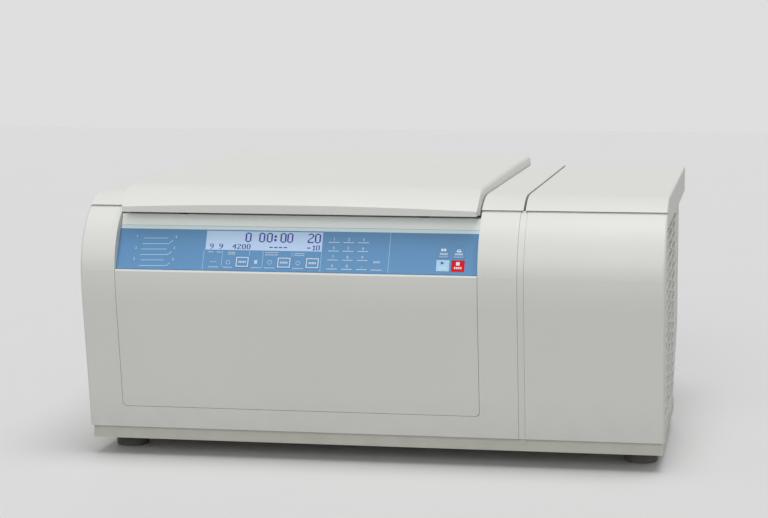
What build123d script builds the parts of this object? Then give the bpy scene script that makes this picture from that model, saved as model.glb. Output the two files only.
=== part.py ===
from build123d import *
import math
import os

# Overall size. The origin is on the bench under the middle of the machine,
# +X is to the right seen from the front, +Y to the back and +Z up.
overall_width = 746.0
overall_depth = 606.0
cover_top = 343.6
cover_skirt = 307.0
body_depth = 470.0
division_x = 194.5

# General fits
seat_gap = 0.3
seam_gap = 0.5
slit_gap = 2.0
run_clearance = 0.06
sheet = 1.5

# Bowed front covers
front_bottom = 39.0
front_top = 326.5
bulge_height = 247.0
brow_radius = 91.0
belly_radius = 250.0
front_lean = 9.0
front_wall = 3.0
return_depth = 52.0
front_corner_radius = 4.0
strip_width = 8.0
strip_line = 0.3
strip_recess = 0.6

# Window in the drive side's front cover
window_left = -327.0
window_right = 141.0
window_bottom = 67.0
window_corner = 5.0
access_top = 248.8
access_lip = 7.5
access_edge_radius = 2.2

# Sloping control panel
panel_low_depth = 5.7
panel_low_height = 249.6
panel_high_depth = 40.7
panel_high_height = 317.6
foil_thickness = 0.8
foil_top = 60.0
bezel_thickness = 3.2
display_left = -212.0
display_right = -60.0
display_low = 28.0
display_high = 54.0
display_recess = 0.3
board_stand_off = 4.0
board_thickness = 1.6
board_margin = 24.0
board_low_margin = 5.0
boss_radius = 4.0
key_proud = 0.5
key_body = 3.4
key_gap = 0.3
key_corner = 0.8
switch_height = 3.0

# Keys that travel: left side, right side, lower and upper edge along the slope
keys = {
    "key_speed": (-170.4, -152.8, 4.6, 19.2),
    "key_time": (-116.2, -98.4, 4.6, 19.2),
    "key_temp": (-79.4, -61.8, 4.6, 19.2),
    "key_start": (87.8, 104.2, 4.4, 19.4),
    "key_stop": (106.8, 123.4, 4.4, 19.4),
    "key_pulse": (89.0, 103.0, 22.6, 38.0),
    "key_open": (108.2, 122.2, 22.6, 38.0),
}

# Base pan and feet
foot_height = 22.0
foot_radius = 23.5
foot_taper = 2.5
foot_edge_radius = 2.0
foot_recess_radius = 9.0
foot_recess_depth = 6.0
foot_front_depth = 108.0
foot_side_inset = 31.0
foot_rear_inset = 32.0
pan_side_gap = 2.0
pan_half_width = overall_width / 2 - pan_side_gap
pan_front_depth = 37.7
pan_rear_depth = 357.0
foot_x = pan_half_width - foot_side_inset
foot_rear_depth = pan_rear_depth - foot_rear_inset
pan_wall = 2.0
pan_rim_gap = 0.5
pan_rib_height = 5.0
pan_rib_width = 14.0
pan_rib_count = 4
lug_width = 9.0
lug_height = 7.0

# Side and rear panels
side_set_in = 3.3
side_top = 312.0
bevel_height = 125.0
side_fold = 14.0
louvre_columns = 3
louvre_rows = 18
louvre_first_depth = 108.0
louvre_column_pitch = 98.0
louvre_length = 74.0
louvre_height = 5.0
louvre_lip = 2.4
louvre_lip_height = 5.0
louvre_first_height = 60.0
louvre_row_pitch = 14.0
grille_left = 214.0
grille_columns = 2
grille_column_pitch = 74.0
grille_slot_length = 62.0
grille_slot_width = 5.0
grille_rows = 12
grille_row_pitch = 12.0
grille_bottom = 146.0
vent_left = -300.0
vent_columns = 3
vent_rows = 6
vent_bottom = 200.0

# Top covers
cover_wall = 3.0
cover_brow_radius = 89.0
cover_brow_depth = 95.0
crease_gap = 1.0
cover_edge_radius = 3.0
cover_rear_radius = 8.0
groove_width = 3.0
deck_height = 318.0
deck_thickness = 3.0
deck_front_depth = 50.0
well_gap = 1.5
well_wall = 2.5
notch_set_in = 31.0
notch_depth = overall_depth - notch_set_in

# Lid
lid_left = -327.0
lid_right = 140.0
lid_front_depth = 13.0
lid_front_taper = 6.8
lid_right_taper = 2.3
lid_taper_end = 95.0
lid_brow_radius = 81.0
lid_shoulder_depth = 75.0
lid_crown_rise = 13.4
lid_crown_height = cover_top + lid_crown_rise
lid_crown_depth = 450.0
lid_crown_radius = 21300.0
lid_flank_rise = 13.4
lid_flank_run = 1.5
lid_edge_radius = 5.0
lid_wall = 4.0
lid_lip_height = 328.0
lid_lip_arch = 4.0
lid_lip_back_arch = 0.05
lid_lip_back_depth = 43.0
lid_lip_back_height = 319.6
lid_lip_thickness = 4.0
lid_skirt_bottom = 321.0
liner_thickness = 2.0
liner_rim = 9.0
liner_dish_radius = 168.0
liner_dish_rise = 11.0

# Lid hinges
hinge_set_in = 18.0
hinge_depth = overall_depth - hinge_set_in
liner_set_in = 20.0
liner_rear_depth = hinge_depth - liner_set_in
hinge_height = 330.0
hinge_offset_x = 160.0
hinge_pin_radius = 5.0
hinge_eye_radius = 10.0
hinge_arm_width = 16.0
hinge_ear_width = 5.0
hinge_pin_head = 7.5
hinge_arm_reach = 62.0
hinge_plate_thickness = 5.0
hinge_notch_gap = 1.0
hinge_notch_rise = 4.0

# Lid locks
lock_offset_x = 158.0
lock_depth = 66.0
striker_thickness = 4.0
striker_width = 20.0
striker_drop = 30.0
striker_slot = 7.0
bolt_radius = 4.0
bolt_length = 40.0
bolt_rest_gap = 3.0
bolt_height = 304.0
striker_hole_gap = 1.2
lock_wall = 6.0
lock_floor = 4.0
lock_half_depth = 13.0
lock_body_length = 46.0

# Chamber
chamber_x = -92.0
chamber_depth = 255.0
chamber_radius = 180.0
chamber_floor = 138.0
chamber_corner = 26.0
bowl_wall = 1.5
bowl_flange_width = 15.0
bowl_mouth_gap = 2.0
boot_radius = 26.0
boot_rise = 10.0
seal_height = 6.5
seal_width = 9.0
insulation_thickness = 13.0
armour_thickness = 4.0
armour_low = 128.0
armour_high = 290.0

# Evaporator tube round the bowl
evaporator_tube_radius = 4.0
evaporator_loops = 4
evaporator_pitch = 33.0
evaporator_low = 168.0
evaporator_clearance = 0.8

# Motor and its mounts
motor_radius = 58.0
motor_bottom = 32.0
motor_flange_radius = 86.0
motor_flange_thickness = 6.0
motor_flange_top = 118.0
motor_fin_count = 16
motor_fin_height = 5.0
motor_fin_width = 3.0
buffer_radius = 11.0
buffer_waist = 8.8
buffer_height = 16.0
buffer_count = 3
buffer_circle = 74.0
plate_radius = 92.0
plate_thickness = 5.0
leg_width = 22.0
bearing_outer_radius = 20.0
bearing_width = 12.0
bearing_low = 40.0
bearing_high = 98.0
shaft_radius = 9.0
shaft_bottom = 41.0
shaft_top = 236.0

# Swing-out rotor
rotor_low = 206.0
rotor_high = 232.0
rotor_hub_radius = 30.0
rotor_hub_low = 190.0
arm_half_width = 12.0
head_thickness = 11.0
pin_circle = 80.0
pin_height = 222.0
pin_radius = 5.0
pin_face = 42.0
pin_length = 6.0
bucket_radius = 34.0
bucket_wall = 2.0
bucket_above_pin = 20.0
bucket_below_pin = 74.0
bucket_corner = 10.0
ear_thickness = 6.0
ear_radius = 10.0
nut_radius = 17.0
nut_height = 16.0
nut_sides = 6

# Compressor
compressor_inset = 87.0
compressor_x = pan_half_width - compressor_inset
compressor_depth = 132.0
compressor_radius = 60.0
compressor_height = 176.0
compressor_dome = 26.0
compressor_plate_half = 68.0
compressor_plate_thickness = 3.0
grommet_radius = 10.0
grommet_height = 16.0
grommet_inset = 14.0
stub_radius = 5.0
stub_length = 12.0
stub_offset = 25.0
terminal_width = 44.0
terminal_height = 60.0
terminal_depth = 18.0
compressor_box_reach = 36.0

# Condenser and fan
condenser_inset = 9.0
condenser_outer_x = pan_half_width - condenser_inset
condenser_thickness = 36.0
condenser_front_depth = 214.0
condenser_rear_depth = 440.0
condenser_low = 112.0
condenser_top = 292.0
fin_count = 12
fin_thickness = 1.2
fin_tube_rows = 5
fin_tube_radius = 4.0
condenser_frame = 3.0
shroud_gap = 0.3
shroud_thickness = 2.0
shroud_ring_depth = 20.0
shroud_ring_wall = 2.0
fan_radius = 82.0
fan_tip_gap = 3.0
fan_hub_radius = 26.0
fan_hub_depth = 15.0
fan_blade_count = 5
fan_root_pitch = 31.0
fan_tip_pitch = 17.5
fan_root_chord = 26.0
fan_tip_chord = 44.0
fan_root_inset = 3.0
fan_blade_thickness = 2.0
fan_motor_radius = 30.0
fan_motor_length = 34.0
fan_motor_gap = 3.0
fan_shaft_radius = 3.0
fan_spoke_width = 10.0
fan_spoke_count = 3

# Refrigerant line parts
drier_radius = 15.0
drier_length = 96.0
drier_neck_radius = 5.0
drier_inset = 145.0
drier_x = pan_half_width - drier_inset
drier_depth = 262.0
drier_low = 60.0
clip_wall = 2.5
clip_width = 16.0
pipe_radius = 4.0
pipe_bend = 13.0
suction_lead = 30.0

# Power module, mains inlet and switch
module_x = 150.0
module_half_width = 33.0
module_foot_depth = 5.0
module_length = 66.0
module_front_depth = pan_rear_depth - module_foot_depth
module_rear_depth = module_front_depth + module_length
module_top = 196.0
module_fin_count = 7
module_fin_height = 14.0
module_fin_width = 3.0
inlet_x = 106.0
inlet_height = 250.0
inlet_width = 34.0
inlet_tall = 26.0
inlet_flange = 4.0
inlet_flange_thickness = 2.0
inlet_body_depth = 22.0
inlet_cavity_depth = 15.0
inlet_wall = 3.0
switch_wall = 1.5
rocker_pin_radius = 2.0
blade_width = 7.0
blade_thickness = 2.0
blade_pitch = 10.0
switch_x = 143.0
switch_width = 20.0
switch_tall = 30.0
rocker_angle = 12.0
rocker_pivot_inset = 6.0
rocker_end_gap = 1.5
rocker_keel = 4.0

# Cover screws on the rear panel
screw_head_radius = 4.5
screw_head_height = 2.4
screw_shank_radius = 2.0
screw_shank_length = 6.0
screw_socket_radius = 2.2
screw_socket_depth = 1.4

half_width = overall_width / 2
front_y = -overall_depth / 2
rear_y = overall_depth / 2


def at(depth):
    # a place given as a depth behind the most forward line of the front
    return front_y + depth


def block(x_low, x_high, y_low, y_high, z_low, z_high):
    centre = ((x_low + x_high) / 2, (y_low + y_high) / 2, (z_low + z_high) / 2)
    return Pos(*centre) * Box(x_high - x_low, y_high - y_low, z_high - z_low)


def upright(radius, x, y, z_low, z_high):
    return Pos(x, y, (z_low + z_high) / 2) * Cylinder(radius, z_high - z_low)


def crosswise(radius, x_low, x_high, y, z):
    return Pos((x_low + x_high) / 2, y, z) * Rotation(0, 90, 0) * Cylinder(radius, x_high - x_low)


def fore_aft(radius, x, y_low, y_high, z):
    return Pos(x, (y_low + y_high) / 2, z) * Rotation(90, 0, 0) * Cylinder(radius, y_high - y_low)


def across(edges, x_low, x_high):
    # a side view outline pushed across the machine
    outline = Plane.YZ * make_face(edges)
    return Pos(x_low, 0, 0) * extrude(outline, x_high - x_low, dir=(1, 0, 0))


def turned(points, x, y):
    # half a section turned about an upright axis
    outline = Plane.XZ * make_face(Polyline(*points, close=True))
    return Pos(x, y, 0) * revolve(outline, Axis.Z)


# Bowed front


def front_outline(inset, back):
    # side view of the bowed front: a leaning skirt, the belly arc and the brow arc
    lean = math.radians(front_lean)
    belly = belly_radius - inset
    brow = brow_radius - inset
    belly_y = front_y + belly_radius
    brow_y = front_y + brow_radius
    turn = (belly_y - belly * math.cos(lean), bulge_height - belly * math.sin(lean))
    foot = (turn[0] + (turn[1] - front_bottom) * math.tan(lean), front_bottom)
    belly_mid = (belly_y - belly * math.cos(lean / 2), bulge_height - belly * math.sin(lean / 2))
    bulge = (front_y + inset, bulge_height)
    rise = math.asin((front_top - bulge_height) / brow)
    brow_mid = (brow_y - brow * math.cos(rise / 2), bulge_height + brow * math.sin(rise / 2))
    crest = (brow_y - brow * math.cos(rise), front_top)
    return [Line(foot, turn), ThreePointArc(turn, belly_mid, bulge), ThreePointArc(bulge, brow_mid, crest),
            Line(crest, (back, front_top)), Line((back, front_top), (back, front_bottom)),
            Line((back, front_bottom), foot)]


def front_block(inset, low, high, back, x_low, x_high):
    whole = across(front_outline(inset, back), x_low, x_high)
    if low > front_bottom or high < front_top:
        whole = whole & block(x_low, x_high, front_y, back, low, high)
    return whole


def front_shell(x_low, x_high, round_low, round_high):
    back = at(return_depth)
    outer = front_block(0, front_bottom, front_top, back, x_low, x_high)
    sides = []
    if round_low:
        sides.append(x_low)
    if round_high:
        sides.append(x_high)
    for side in sides:
        rim = outer.edges().filter_by_position(Axis.X, side - seam_gap, side + seam_gap)
        rim = rim.filter_by(lambda edge: edge.center().Y < back - front_wall and not on_level(edge))
        outer = fillet(rim, front_corner_radius)
    inner = front_block(front_wall, front_bottom + front_wall, front_top - front_wall,
                        back + front_wall, x_low + front_wall, x_high - front_wall)
    return outer - inner


def window_block(inset, low, high, y_low, y_high):
    # the window's outline seen from the front, with rounded lower corners
    hole = block(window_left + inset, window_right - inset, y_low, y_high, low + inset, high)
    return fillet(hole.edges().filter_by(Axis.Y).sort_by(Axis.Z)[:2], window_corner)


def on_level(edge):
    # whether an edge lies flat at the top or the bottom of the front covers
    box = edge.bounding_box()
    return box.size.Z < front_wall


def make_front_panel_main():
    x_high = division_x - strip_width / 2 - strip_line
    back = at(return_depth)
    cover = front_shell(-half_width, x_high, True, False)
    window = window_block(0, window_bottom, front_top + front_wall, front_y - front_wall, back)
    for wall_low in (window_left - front_wall, window_right):
        cover += front_block(0, window_bottom, front_top, back, wall_low, wall_low + front_wall)
    shelf = front_block(0, window_bottom - front_wall, window_bottom + window_corner, back, window_left, window_right)
    cover = cover + shelf - window
    return cover - plan_block(well_gap, back + front_wall, deck_height, front_top + front_wall)


def make_front_panel_cooling():
    x_low = division_x + strip_width / 2 + strip_line
    return front_shell(x_low, half_width, False, True)


def make_joint_strip():
    x_low = division_x - strip_width / 2
    x_high = division_x + strip_width / 2
    outer = front_block(strip_recess, front_bottom, front_top, at(return_depth), x_low, x_high)
    inner = front_block(strip_recess + front_wall, front_bottom + front_wall, front_top - front_wall,
                        at(return_depth) + front_wall, x_low - front_wall, x_high + front_wall)
    return outer - inner


def make_access_panel():
    back = at(return_depth)
    x_low = window_left + seam_gap
    x_high = window_right - seam_gap
    low = window_bottom + seam_gap
    outer = front_block(0, low, access_top, back, x_low, x_high)
    level = outer.edges().filter_by(Axis.X).filter_by(lambda edge: abs(edge.center().Z - access_top) < seam_gap)
    outer = fillet(level.sort_by(Axis.Y)[:1], access_edge_radius)
    inner = front_block(front_wall, front_bottom, access_top - front_wall, back + front_wall,
                        x_low - front_wall, x_high + front_wall)
    flange = block(x_low, x_high, at(access_lip), back, access_top - front_wall, access_top)
    return (outer - inner - flange) & window_block(seam_gap, window_bottom, access_top, front_y, back)


# Control panel, laid out on its own sloping plane


panel_run = panel_high_depth - panel_low_depth
panel_rise = panel_high_height - panel_low_height
panel_length = math.hypot(panel_run, panel_rise)
panel_plane = Plane(origin=(0, at(panel_low_depth), panel_low_height), x_dir=(1, 0, 0),
                    z_dir=(0, -panel_rise / panel_length, panel_run / panel_length))
panel_left = window_left + seam_gap
panel_right = window_right - seam_gap


def on_panel(x_low, x_high, low, high, back, face):
    centre = ((x_low + x_high) / 2, (low + high) / 2, (back + face) / 2)
    return panel_plane * Pos(*centre) * Box(x_high - x_low, high - low, face - back)


def key_hole(name, grow, back, face):
    x_low, x_high, low, high = keys[name]
    return on_panel(x_low - grow, x_high + grow, low - grow, high + grow, back, face)


def board_span():
    return panel_left + board_margin, panel_right - board_margin / 2, board_low_margin, panel_length - board_margin / 3


def make_control_bezel():
    back = -foil_thickness - bezel_thickness
    plate = on_panel(panel_left, panel_right, seam_gap, panel_length - seam_gap, back, -foil_thickness)
    plate += on_panel(panel_left, panel_right, foil_top + key_gap, panel_length - seam_gap, -foil_thickness, 0)
    plate -= on_panel(display_left - key_gap, display_right + key_gap, display_low - key_gap,
                      display_high + key_gap, back - 1, 0)
    for name in keys:
        plate -= key_hole(name, key_gap, back - 1, 0)
    x_low, x_high, low, high = board_span()
    for x in (x_low + boss_radius, x_high - boss_radius):
        for slope in (low + boss_radius, high - boss_radius):
            boss = Pos(x, slope, back - board_stand_off / 2) * Cylinder(boss_radius, board_stand_off)
            plate += panel_plane * boss
    return plate


def make_control_foil():
    foil = on_panel(panel_left, panel_right, seam_gap, foil_top, -foil_thickness, 0)
    foil -= on_panel(display_left - key_gap, display_right + key_gap, display_low - key_gap,
                     display_high + key_gap, -foil_thickness, 0)
    for name in keys:
        foil -= key_hole(name, key_gap, -foil_thickness, 0)
    return foil


def make_display_module():
    back = -foil_thickness - bezel_thickness - board_stand_off
    return on_panel(display_left, display_right, display_low, display_high, back, -display_recess)


def make_control_board():
    face = -foil_thickness - bezel_thickness - board_stand_off
    x_low, x_high, low, high = board_span()
    board = on_panel(x_low, x_high, low, high, face - board_thickness, face)
    for name in keys:
        left, right, bottom, top = keys[name]
        centre = ((left + right) / 2, (bottom + top) / 2, face + switch_height / 2)
        board += panel_plane * Pos(*centre) * Box(board_stand_off, board_stand_off, switch_height)
    return board


def make_key(name):
    x_low, x_high, low, high = keys[name]
    cap = on_panel(x_low, x_high, low, high, key_proud - key_body, key_proud)
    sides = cap.edges().filter_by(Axis((0, 0, 0), panel_plane.z_dir))
    return fillet(sides, key_corner)


# Base pan and feet


def make_base_pan():
    rim_top = front_bottom - pan_rim_gap
    y_front = at(pan_front_depth)
    y_rear = at(pan_rear_depth)
    tray = block(-pan_half_width, pan_half_width, y_front, y_rear, foot_height, rim_top)
    tray -= block(-pan_half_width + pan_wall, pan_half_width - pan_wall, y_front + pan_wall,
                  y_rear - pan_wall, foot_height + pan_wall, rim_top + pan_wall)
    rib_pitch = (y_rear - y_front) / (pan_rib_count + 1)
    for number in range(pan_rib_count):
        y = y_front + rib_pitch * (number + 1)
        tray += block(-pan_half_width + foot_radius * 2, chamber_x - plate_radius - pan_rib_width,
                      y - pan_rib_width / 2, y + pan_rib_width / 2, foot_height, foot_height + pan_rib_height)
    tray += block(division_x - lug_width / 2, division_x + lug_width / 2, y_front - pan_wall,
                  y_front, rim_top - lug_height, rim_top)
    return tray + drier_clip()


def make_feet():
    feet = []
    for x in (-foot_x, foot_x):
        for depth in (foot_front_depth, foot_rear_depth):
            foot = Pos(x, at(depth), 0) * Cone(foot_radius - foot_taper, foot_radius, foot_height,
                                               align=(Align.CENTER, Align.CENTER, Align.MIN))
            foot = fillet(foot.edges().sort_by(Axis.Z)[:1], foot_edge_radius)
            foot -= upright(foot_recess_radius, x, at(depth), 0, foot_recess_depth)
            feet.append(foot)
    return feet


# Side and rear panels


def side_outline():
    low = front_bottom - pan_rim_gap + seat_gap
    y_front = at(return_depth) + seam_gap
    y_rear = at(body_depth)
    return [(y_front, low), (at(pan_rear_depth), low), (y_rear, bevel_height), (y_rear, side_top), (y_front, side_top)]


def side_sheet(x_outer, x_inner):
    # a flat side with its lower edge folded inwards
    outline = Polyline(*side_outline(), close=True)
    low = min(x_outer, x_inner)
    high = max(x_outer, x_inner)
    panel = across(outline, low, high)
    floor = side_outline()[0][1]
    inward = math.copysign(side_fold, x_inner - x_outer)
    fold_low = min(x_outer, x_outer + inward)
    fold_high = max(x_outer, x_outer + inward)
    panel += block(fold_low, fold_high, side_outline()[0][0], at(pan_rear_depth) - sheet * 3, floor, floor + sheet)
    return panel


def make_left_side_panel():
    x_outer = -half_width + side_set_in
    return side_sheet(x_outer, x_outer + sheet)


def make_right_side_panel():
    x_outer = half_width - side_set_in
    panel = side_sheet(x_outer, x_outer - sheet)
    lips = []
    slots = []
    for column in range(louvre_columns):
        y = at(louvre_first_depth + column * louvre_column_pitch)
        for row in range(louvre_rows):
            z = louvre_first_height + row * louvre_row_pitch
            slots.append(block(x_outer - sheet * 2, x_outer + sheet, y - louvre_length / 2,
                               y + louvre_length / 2, z, z + louvre_height))
            wedge = Polyline((x_outer - sheet / 2, z), (x_outer + louvre_lip, z), (x_outer, z - louvre_lip_height),
                             (x_outer - sheet / 2, z - louvre_lip_height), close=True)
            lip = extrude(Plane.XZ * make_face(wedge), louvre_length, dir=(0, 1, 0))
            lips.append(Pos(0, y - louvre_length / 2, 0) * lip)
    return panel - slots + lips


def rear_slots(x_low, columns, rows, z_low):
    slots = []
    for column in range(columns):
        x = x_low + column * grille_column_pitch
        for row in range(rows):
            z = z_low + row * grille_row_pitch
            slots.append(block(x, x + grille_slot_length, at(body_depth) - sheet * 2, at(body_depth) + sheet,
                               z, z + grille_slot_width))
    return slots


def screw_places():
    low = bevel_height + side_fold
    high = side_top - side_fold
    edge = half_width - side_set_in - side_fold
    return [(x, z) for x in (-edge, division_x, edge) for z in (low, high)]


def make_rear_panel():
    y_rear = at(body_depth)
    side = half_width - side_set_in - sheet - seat_gap
    low = side_outline()[0][1]
    outer = [(at(pan_rear_depth), low), (y_rear, bevel_height), (y_rear, side_top)]
    inner = [(y_rear - sheet, side_top), (y_rear - sheet, bevel_height + sheet), (at(pan_rear_depth) - sheet, low)]
    panel = across(Polyline(*outer, *inner, close=True), -side, side)
    panel -= rear_slots(grille_left, grille_columns, grille_rows, grille_bottom)
    panel -= rear_slots(vent_left, vent_columns, vent_rows, vent_bottom)
    x_low, x_high = mains_span()
    panel -= block(x_low - seat_gap, x_high + seat_gap, y_rear - sheet * 2, y_rear + sheet,
                   inlet_height - switch_tall / 2 - seat_gap, inlet_height + switch_tall / 2 + seat_gap)
    for x, z in screw_places():
        panel -= fore_aft(screw_shank_radius + run_clearance, x, y_rear - sheet * 2, y_rear + sheet, z)
    return panel


def make_cover_screws():
    y_rear = at(body_depth)
    screws = []
    for x, z in screw_places():
        head = fore_aft(screw_head_radius, x, y_rear, y_rear + screw_head_height, z)
        head += fore_aft(screw_shank_radius, x, y_rear - screw_shank_length, y_rear, z)
        socket = Plane.XZ * RegularPolygon(screw_socket_radius, 6)
        cut = extrude(socket, screw_socket_depth, dir=(0, -1, 0))
        screws.append(head - Pos(x, y_rear + screw_head_height, z) * cut)
    return screws


# Top covers


def cover_block(inset, low, x_low, x_high):
    # the side view of a top cover, drawn in from its faces and pushed across
    radius = cover_brow_radius - inset
    centre_y = at(cover_brow_depth)
    centre_z = cover_top - cover_brow_radius
    start_z = front_top + crease_gap + inset
    swing = math.asin((start_z - centre_z) / radius)
    mid = (swing + math.pi / 2) / 2
    start = (centre_y - radius * math.cos(swing), start_z)
    middle = (centre_y - radius * math.cos(mid), centre_z + radius * math.sin(mid))
    crest = (centre_y, centre_z + radius)
    y_rear = rear_y - inset
    top = cover_top - inset
    lip = at(return_depth) + slit_gap + inset
    edges = [ThreePointArc(start, middle, crest), Line(crest, (y_rear, top)), Line((y_rear, top), (y_rear, low)),
             Line((y_rear, low), (lip, low)), Line((lip, low), (lip, start_z)), Line((lip, start_z), start)]
    return across(edges, x_low, x_high)


def cover_shell(x_low, x_high, side):
    # a hood open below over the body and closed below where it overhangs the back
    outer = cover_block(0, cover_skirt, x_low, x_high)
    crest = outer.edges().filter_by(Axis.X).filter_by(
        lambda edge: abs(edge.center().Y - rear_y) < seam_gap and abs(edge.center().Z - cover_top) < seam_gap)
    outer = fillet(crest, cover_rear_radius)
    rim = outer.edges().filter_by(lambda edge: abs(edge.center().X - side) < seam_gap
                                  and edge.center().Z > front_top + crease_gap + cover_wall)
    outer = fillet(rim, cover_edge_radius)
    inner = cover_block(cover_wall, cover_skirt + cover_wall, x_low + cover_wall, x_high - cover_wall)
    open_low = x_low + cover_wall if side == x_low else x_low
    open_high = x_high - cover_wall if side == x_high else x_high
    below = block(open_low, open_high, at(return_depth), at(body_depth), cover_skirt - cover_wall,
                  side_top + seam_gap)
    front = block(open_low, open_high, at(return_depth), at(return_depth) + slit_gap + cover_wall * 2,
                  cover_skirt - cover_wall, front_top + crease_gap)
    return outer - inner - below - front


def lid_plan(grow, back):
    # the lid's outline seen from above, wider by grow, running to a given back line
    left = lid_left - grow
    right = lid_right + grow
    front = at(lid_front_depth) - grow
    full = at(lid_taper_end)
    half = (lid_front_depth + lid_taper_end) / 2
    left_front = (left + lid_front_taper, front)
    right_front = (right - lid_right_taper, front)
    return [Line(left_front, right_front),
            ThreePointArc(right_front, (right - lid_right_taper / 4, at(half)), (right, full)),
            Line((right, full), (right, back)), Line((right, back), (left, back)), Line((left, back), (left, full)),
            ThreePointArc((left, full), (left + lid_front_taper / 4, at(half)), left_front)]


def plan_block(grow, back, low, high):
    return Pos(0, 0, low) * extrude(make_face(lid_plan(grow, back)), high - low)


def make_top_cover_main():
    x_high = division_x - groove_width / 2
    shell = cover_shell(-half_width, x_high, -half_width)
    low = deck_height - deck_thickness
    room = cover_block(0, cover_skirt, -half_width, x_high)
    well = plan_block(well_gap + well_wall, at(notch_depth), low, cover_top) & room
    well -= block(-half_width, x_high, front_y, at(deck_front_depth), low - 1, deck_height + 1)
    cover = shell + well
    cover -= plan_block(well_gap, rear_y + cover_wall, deck_height, lid_crown_height)
    cover -= block(lid_left - well_gap, lid_right + well_gap, at(notch_depth), rear_y + cover_wall,
                   cover_skirt - cover_wall, cover_top)
    cover -= upright(chamber_radius + bowl_wall + bowl_mouth_gap, chamber_x, at(chamber_depth),
                     low - deck_thickness, deck_height + deck_thickness)
    for x in lock_places():
        cover -= block(x - striker_slot, x + striker_slot, at(lock_depth) - striker_width / 2 - striker_slot / 2,
                       at(lock_depth) + striker_width / 2 + striker_slot / 2, low - 1, deck_height + 1)
    return cover


def make_top_cover_cooling():
    x_low = division_x + groove_width / 2
    return cover_shell(x_low, half_width, half_width)


# Lid


def lid_side_view(inset, low, back, front_low):
    # outline of the lid from the side: brow, long crown, back and open underside
    crown_y = at(lid_crown_depth)
    crown_z = lid_crown_height - lid_crown_radius
    shoulder_y = at(lid_shoulder_depth)
    tilt = math.asin((crown_y - shoulder_y) / lid_crown_radius)
    joint = (shoulder_y, crown_z + lid_crown_radius * math.cos(tilt))
    centre = (joint[0] + lid_brow_radius * math.sin(tilt), joint[1] - lid_brow_radius * math.cos(tilt))
    brow = lid_brow_radius - inset
    crown = lid_crown_radius - inset
    swing = math.asin((front_low - centre[1]) / brow)
    mid = (swing + math.pi / 2 - tilt) / 2
    start = (centre[0] - brow * math.cos(swing), front_low)
    middle = (centre[0] - brow * math.cos(mid), centre[1] + brow * math.sin(mid))
    turn = (crown_y - crown * math.sin(tilt), crown_z + crown * math.cos(tilt))
    end_y = back - inset
    end_z = crown_z + math.sqrt(crown ** 2 - (end_y - crown_y) ** 2)
    crest = (crown_y, crown_z + crown)
    return [ThreePointArc(start, middle, turn), ThreePointArc(turn, crest, (end_y, end_z)),
            Line((end_y, end_z), (end_y, low)), Line((end_y, low), (start[0], low)), Line((start[0], low), start)]


def lid_flanks(inset):
    # the lid's cross section, with flanks that lean in above the fixed covers
    left = lid_left + inset
    right = lid_right - inset
    top = lid_crown_height + lid_wall
    run = lid_flank_run * (top - cover_top) / lid_flank_rise
    floor = cover_skirt - lid_wall
    outline = Polyline((left, floor), (right, floor), (right, cover_top), (right - run, top),
                       (left + run, top), (left, cover_top), close=True)
    return Pos(0, front_y - lid_wall, 0) * extrude(Plane.XZ * make_face(outline),
                                                    overall_depth + 2 * lid_wall, dir=(0, 1, 0))


def make_lid_shell():
    outer = across(lid_side_view(0, lid_skirt_bottom, rear_y, lid_lip_height), lid_left, lid_right)
    outer = outer & lid_flanks(0) & plan_block(0, rear_y, cover_skirt, lid_crown_height + lid_wall)
    crest = outer.edges().filter_by(
        lambda edge: edge.length > lid_front_taper and edge.bounding_box().min.Z > cover_top + lid_edge_radius
        and edge.bounding_box().size.X < lid_edge_radius and edge.bounding_box().size.Y > lid_shoulder_depth)
    outer = fillet(crest, lid_edge_radius)
    outer -= lip_cutter()
    inner = across(lid_side_view(lid_wall, cover_skirt, rear_y, lid_lip_height + lid_lip_thickness + lid_lip_arch / 2),
                   lid_left + lid_wall, lid_right - lid_wall)
    inner = inner & lid_flanks(lid_wall) & plan_block(-lid_wall, rear_y, cover_skirt, lid_crown_height)
    inner -= lip_floor()
    shell = outer - inner
    half = hinge_arm_width / 2 + seat_gap + hinge_ear_width + hinge_notch_gap
    for x in hinge_places():
        shell -= block(x - half, x + half, rear_y - lid_wall - hinge_notch_gap, rear_y + hinge_notch_gap,
                       cover_skirt, hinge_height + hinge_notch_rise)
    return shell


def lip_cutter():
    # clears the underside of the front lip, arched along its edge and straight at its back
    left = lid_left - lid_wall
    right = lid_right + lid_wall
    middle = (left + right) / 2
    floor = cover_skirt - lid_wall
    front = at(lid_front_depth)
    slope = (lid_lip_height - lid_lip_back_height) / (lid_lip_back_depth - lid_front_depth)
    lead = lid_front_depth
    edge_height = lid_lip_height + slope * lead
    sections = []
    for y, height, arch in ((front - lead, edge_height, lid_lip_arch + slope * lead),
                            (at(lid_lip_back_depth), lid_lip_back_height, lid_lip_back_arch)):
        edges = [ThreePointArc((left, height), (middle, height + arch), (right, height)),
                 Line((right, height), (right, floor)), Line((right, floor), (left, floor)),
                 Line((left, floor), (left, height))]
        sections.append(Plane(origin=(0, y, 0), x_dir=(1, 0, 0), z_dir=(0, -1, 0)) * make_face(edges))
    return loft(sections, ruled=True)


def lip_floor():
    # keeps a floor of even thickness over the front lip, and a low wall behind it
    slope = (lid_lip_height - lid_lip_back_height) / (lid_lip_back_depth - lid_front_depth)
    back = lid_lip_back_depth + lid_wall
    rise = lid_lip_thickness + lid_lip_arch / 2
    near = lid_lip_height + rise
    far = near - slope * (back - lid_front_depth)
    outline = Polyline((at(lid_front_depth) - lid_wall, near + slope * lid_wall), (at(back), far),
                       (at(back), cover_skirt - lid_wall),
                       (at(lid_front_depth) - lid_wall, cover_skirt - lid_wall), close=True)
    return across(outline, lid_left - lid_wall, lid_right + lid_wall)


def liner_level():
    return deck_height + bowl_wall + seal_height + seat_gap


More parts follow.
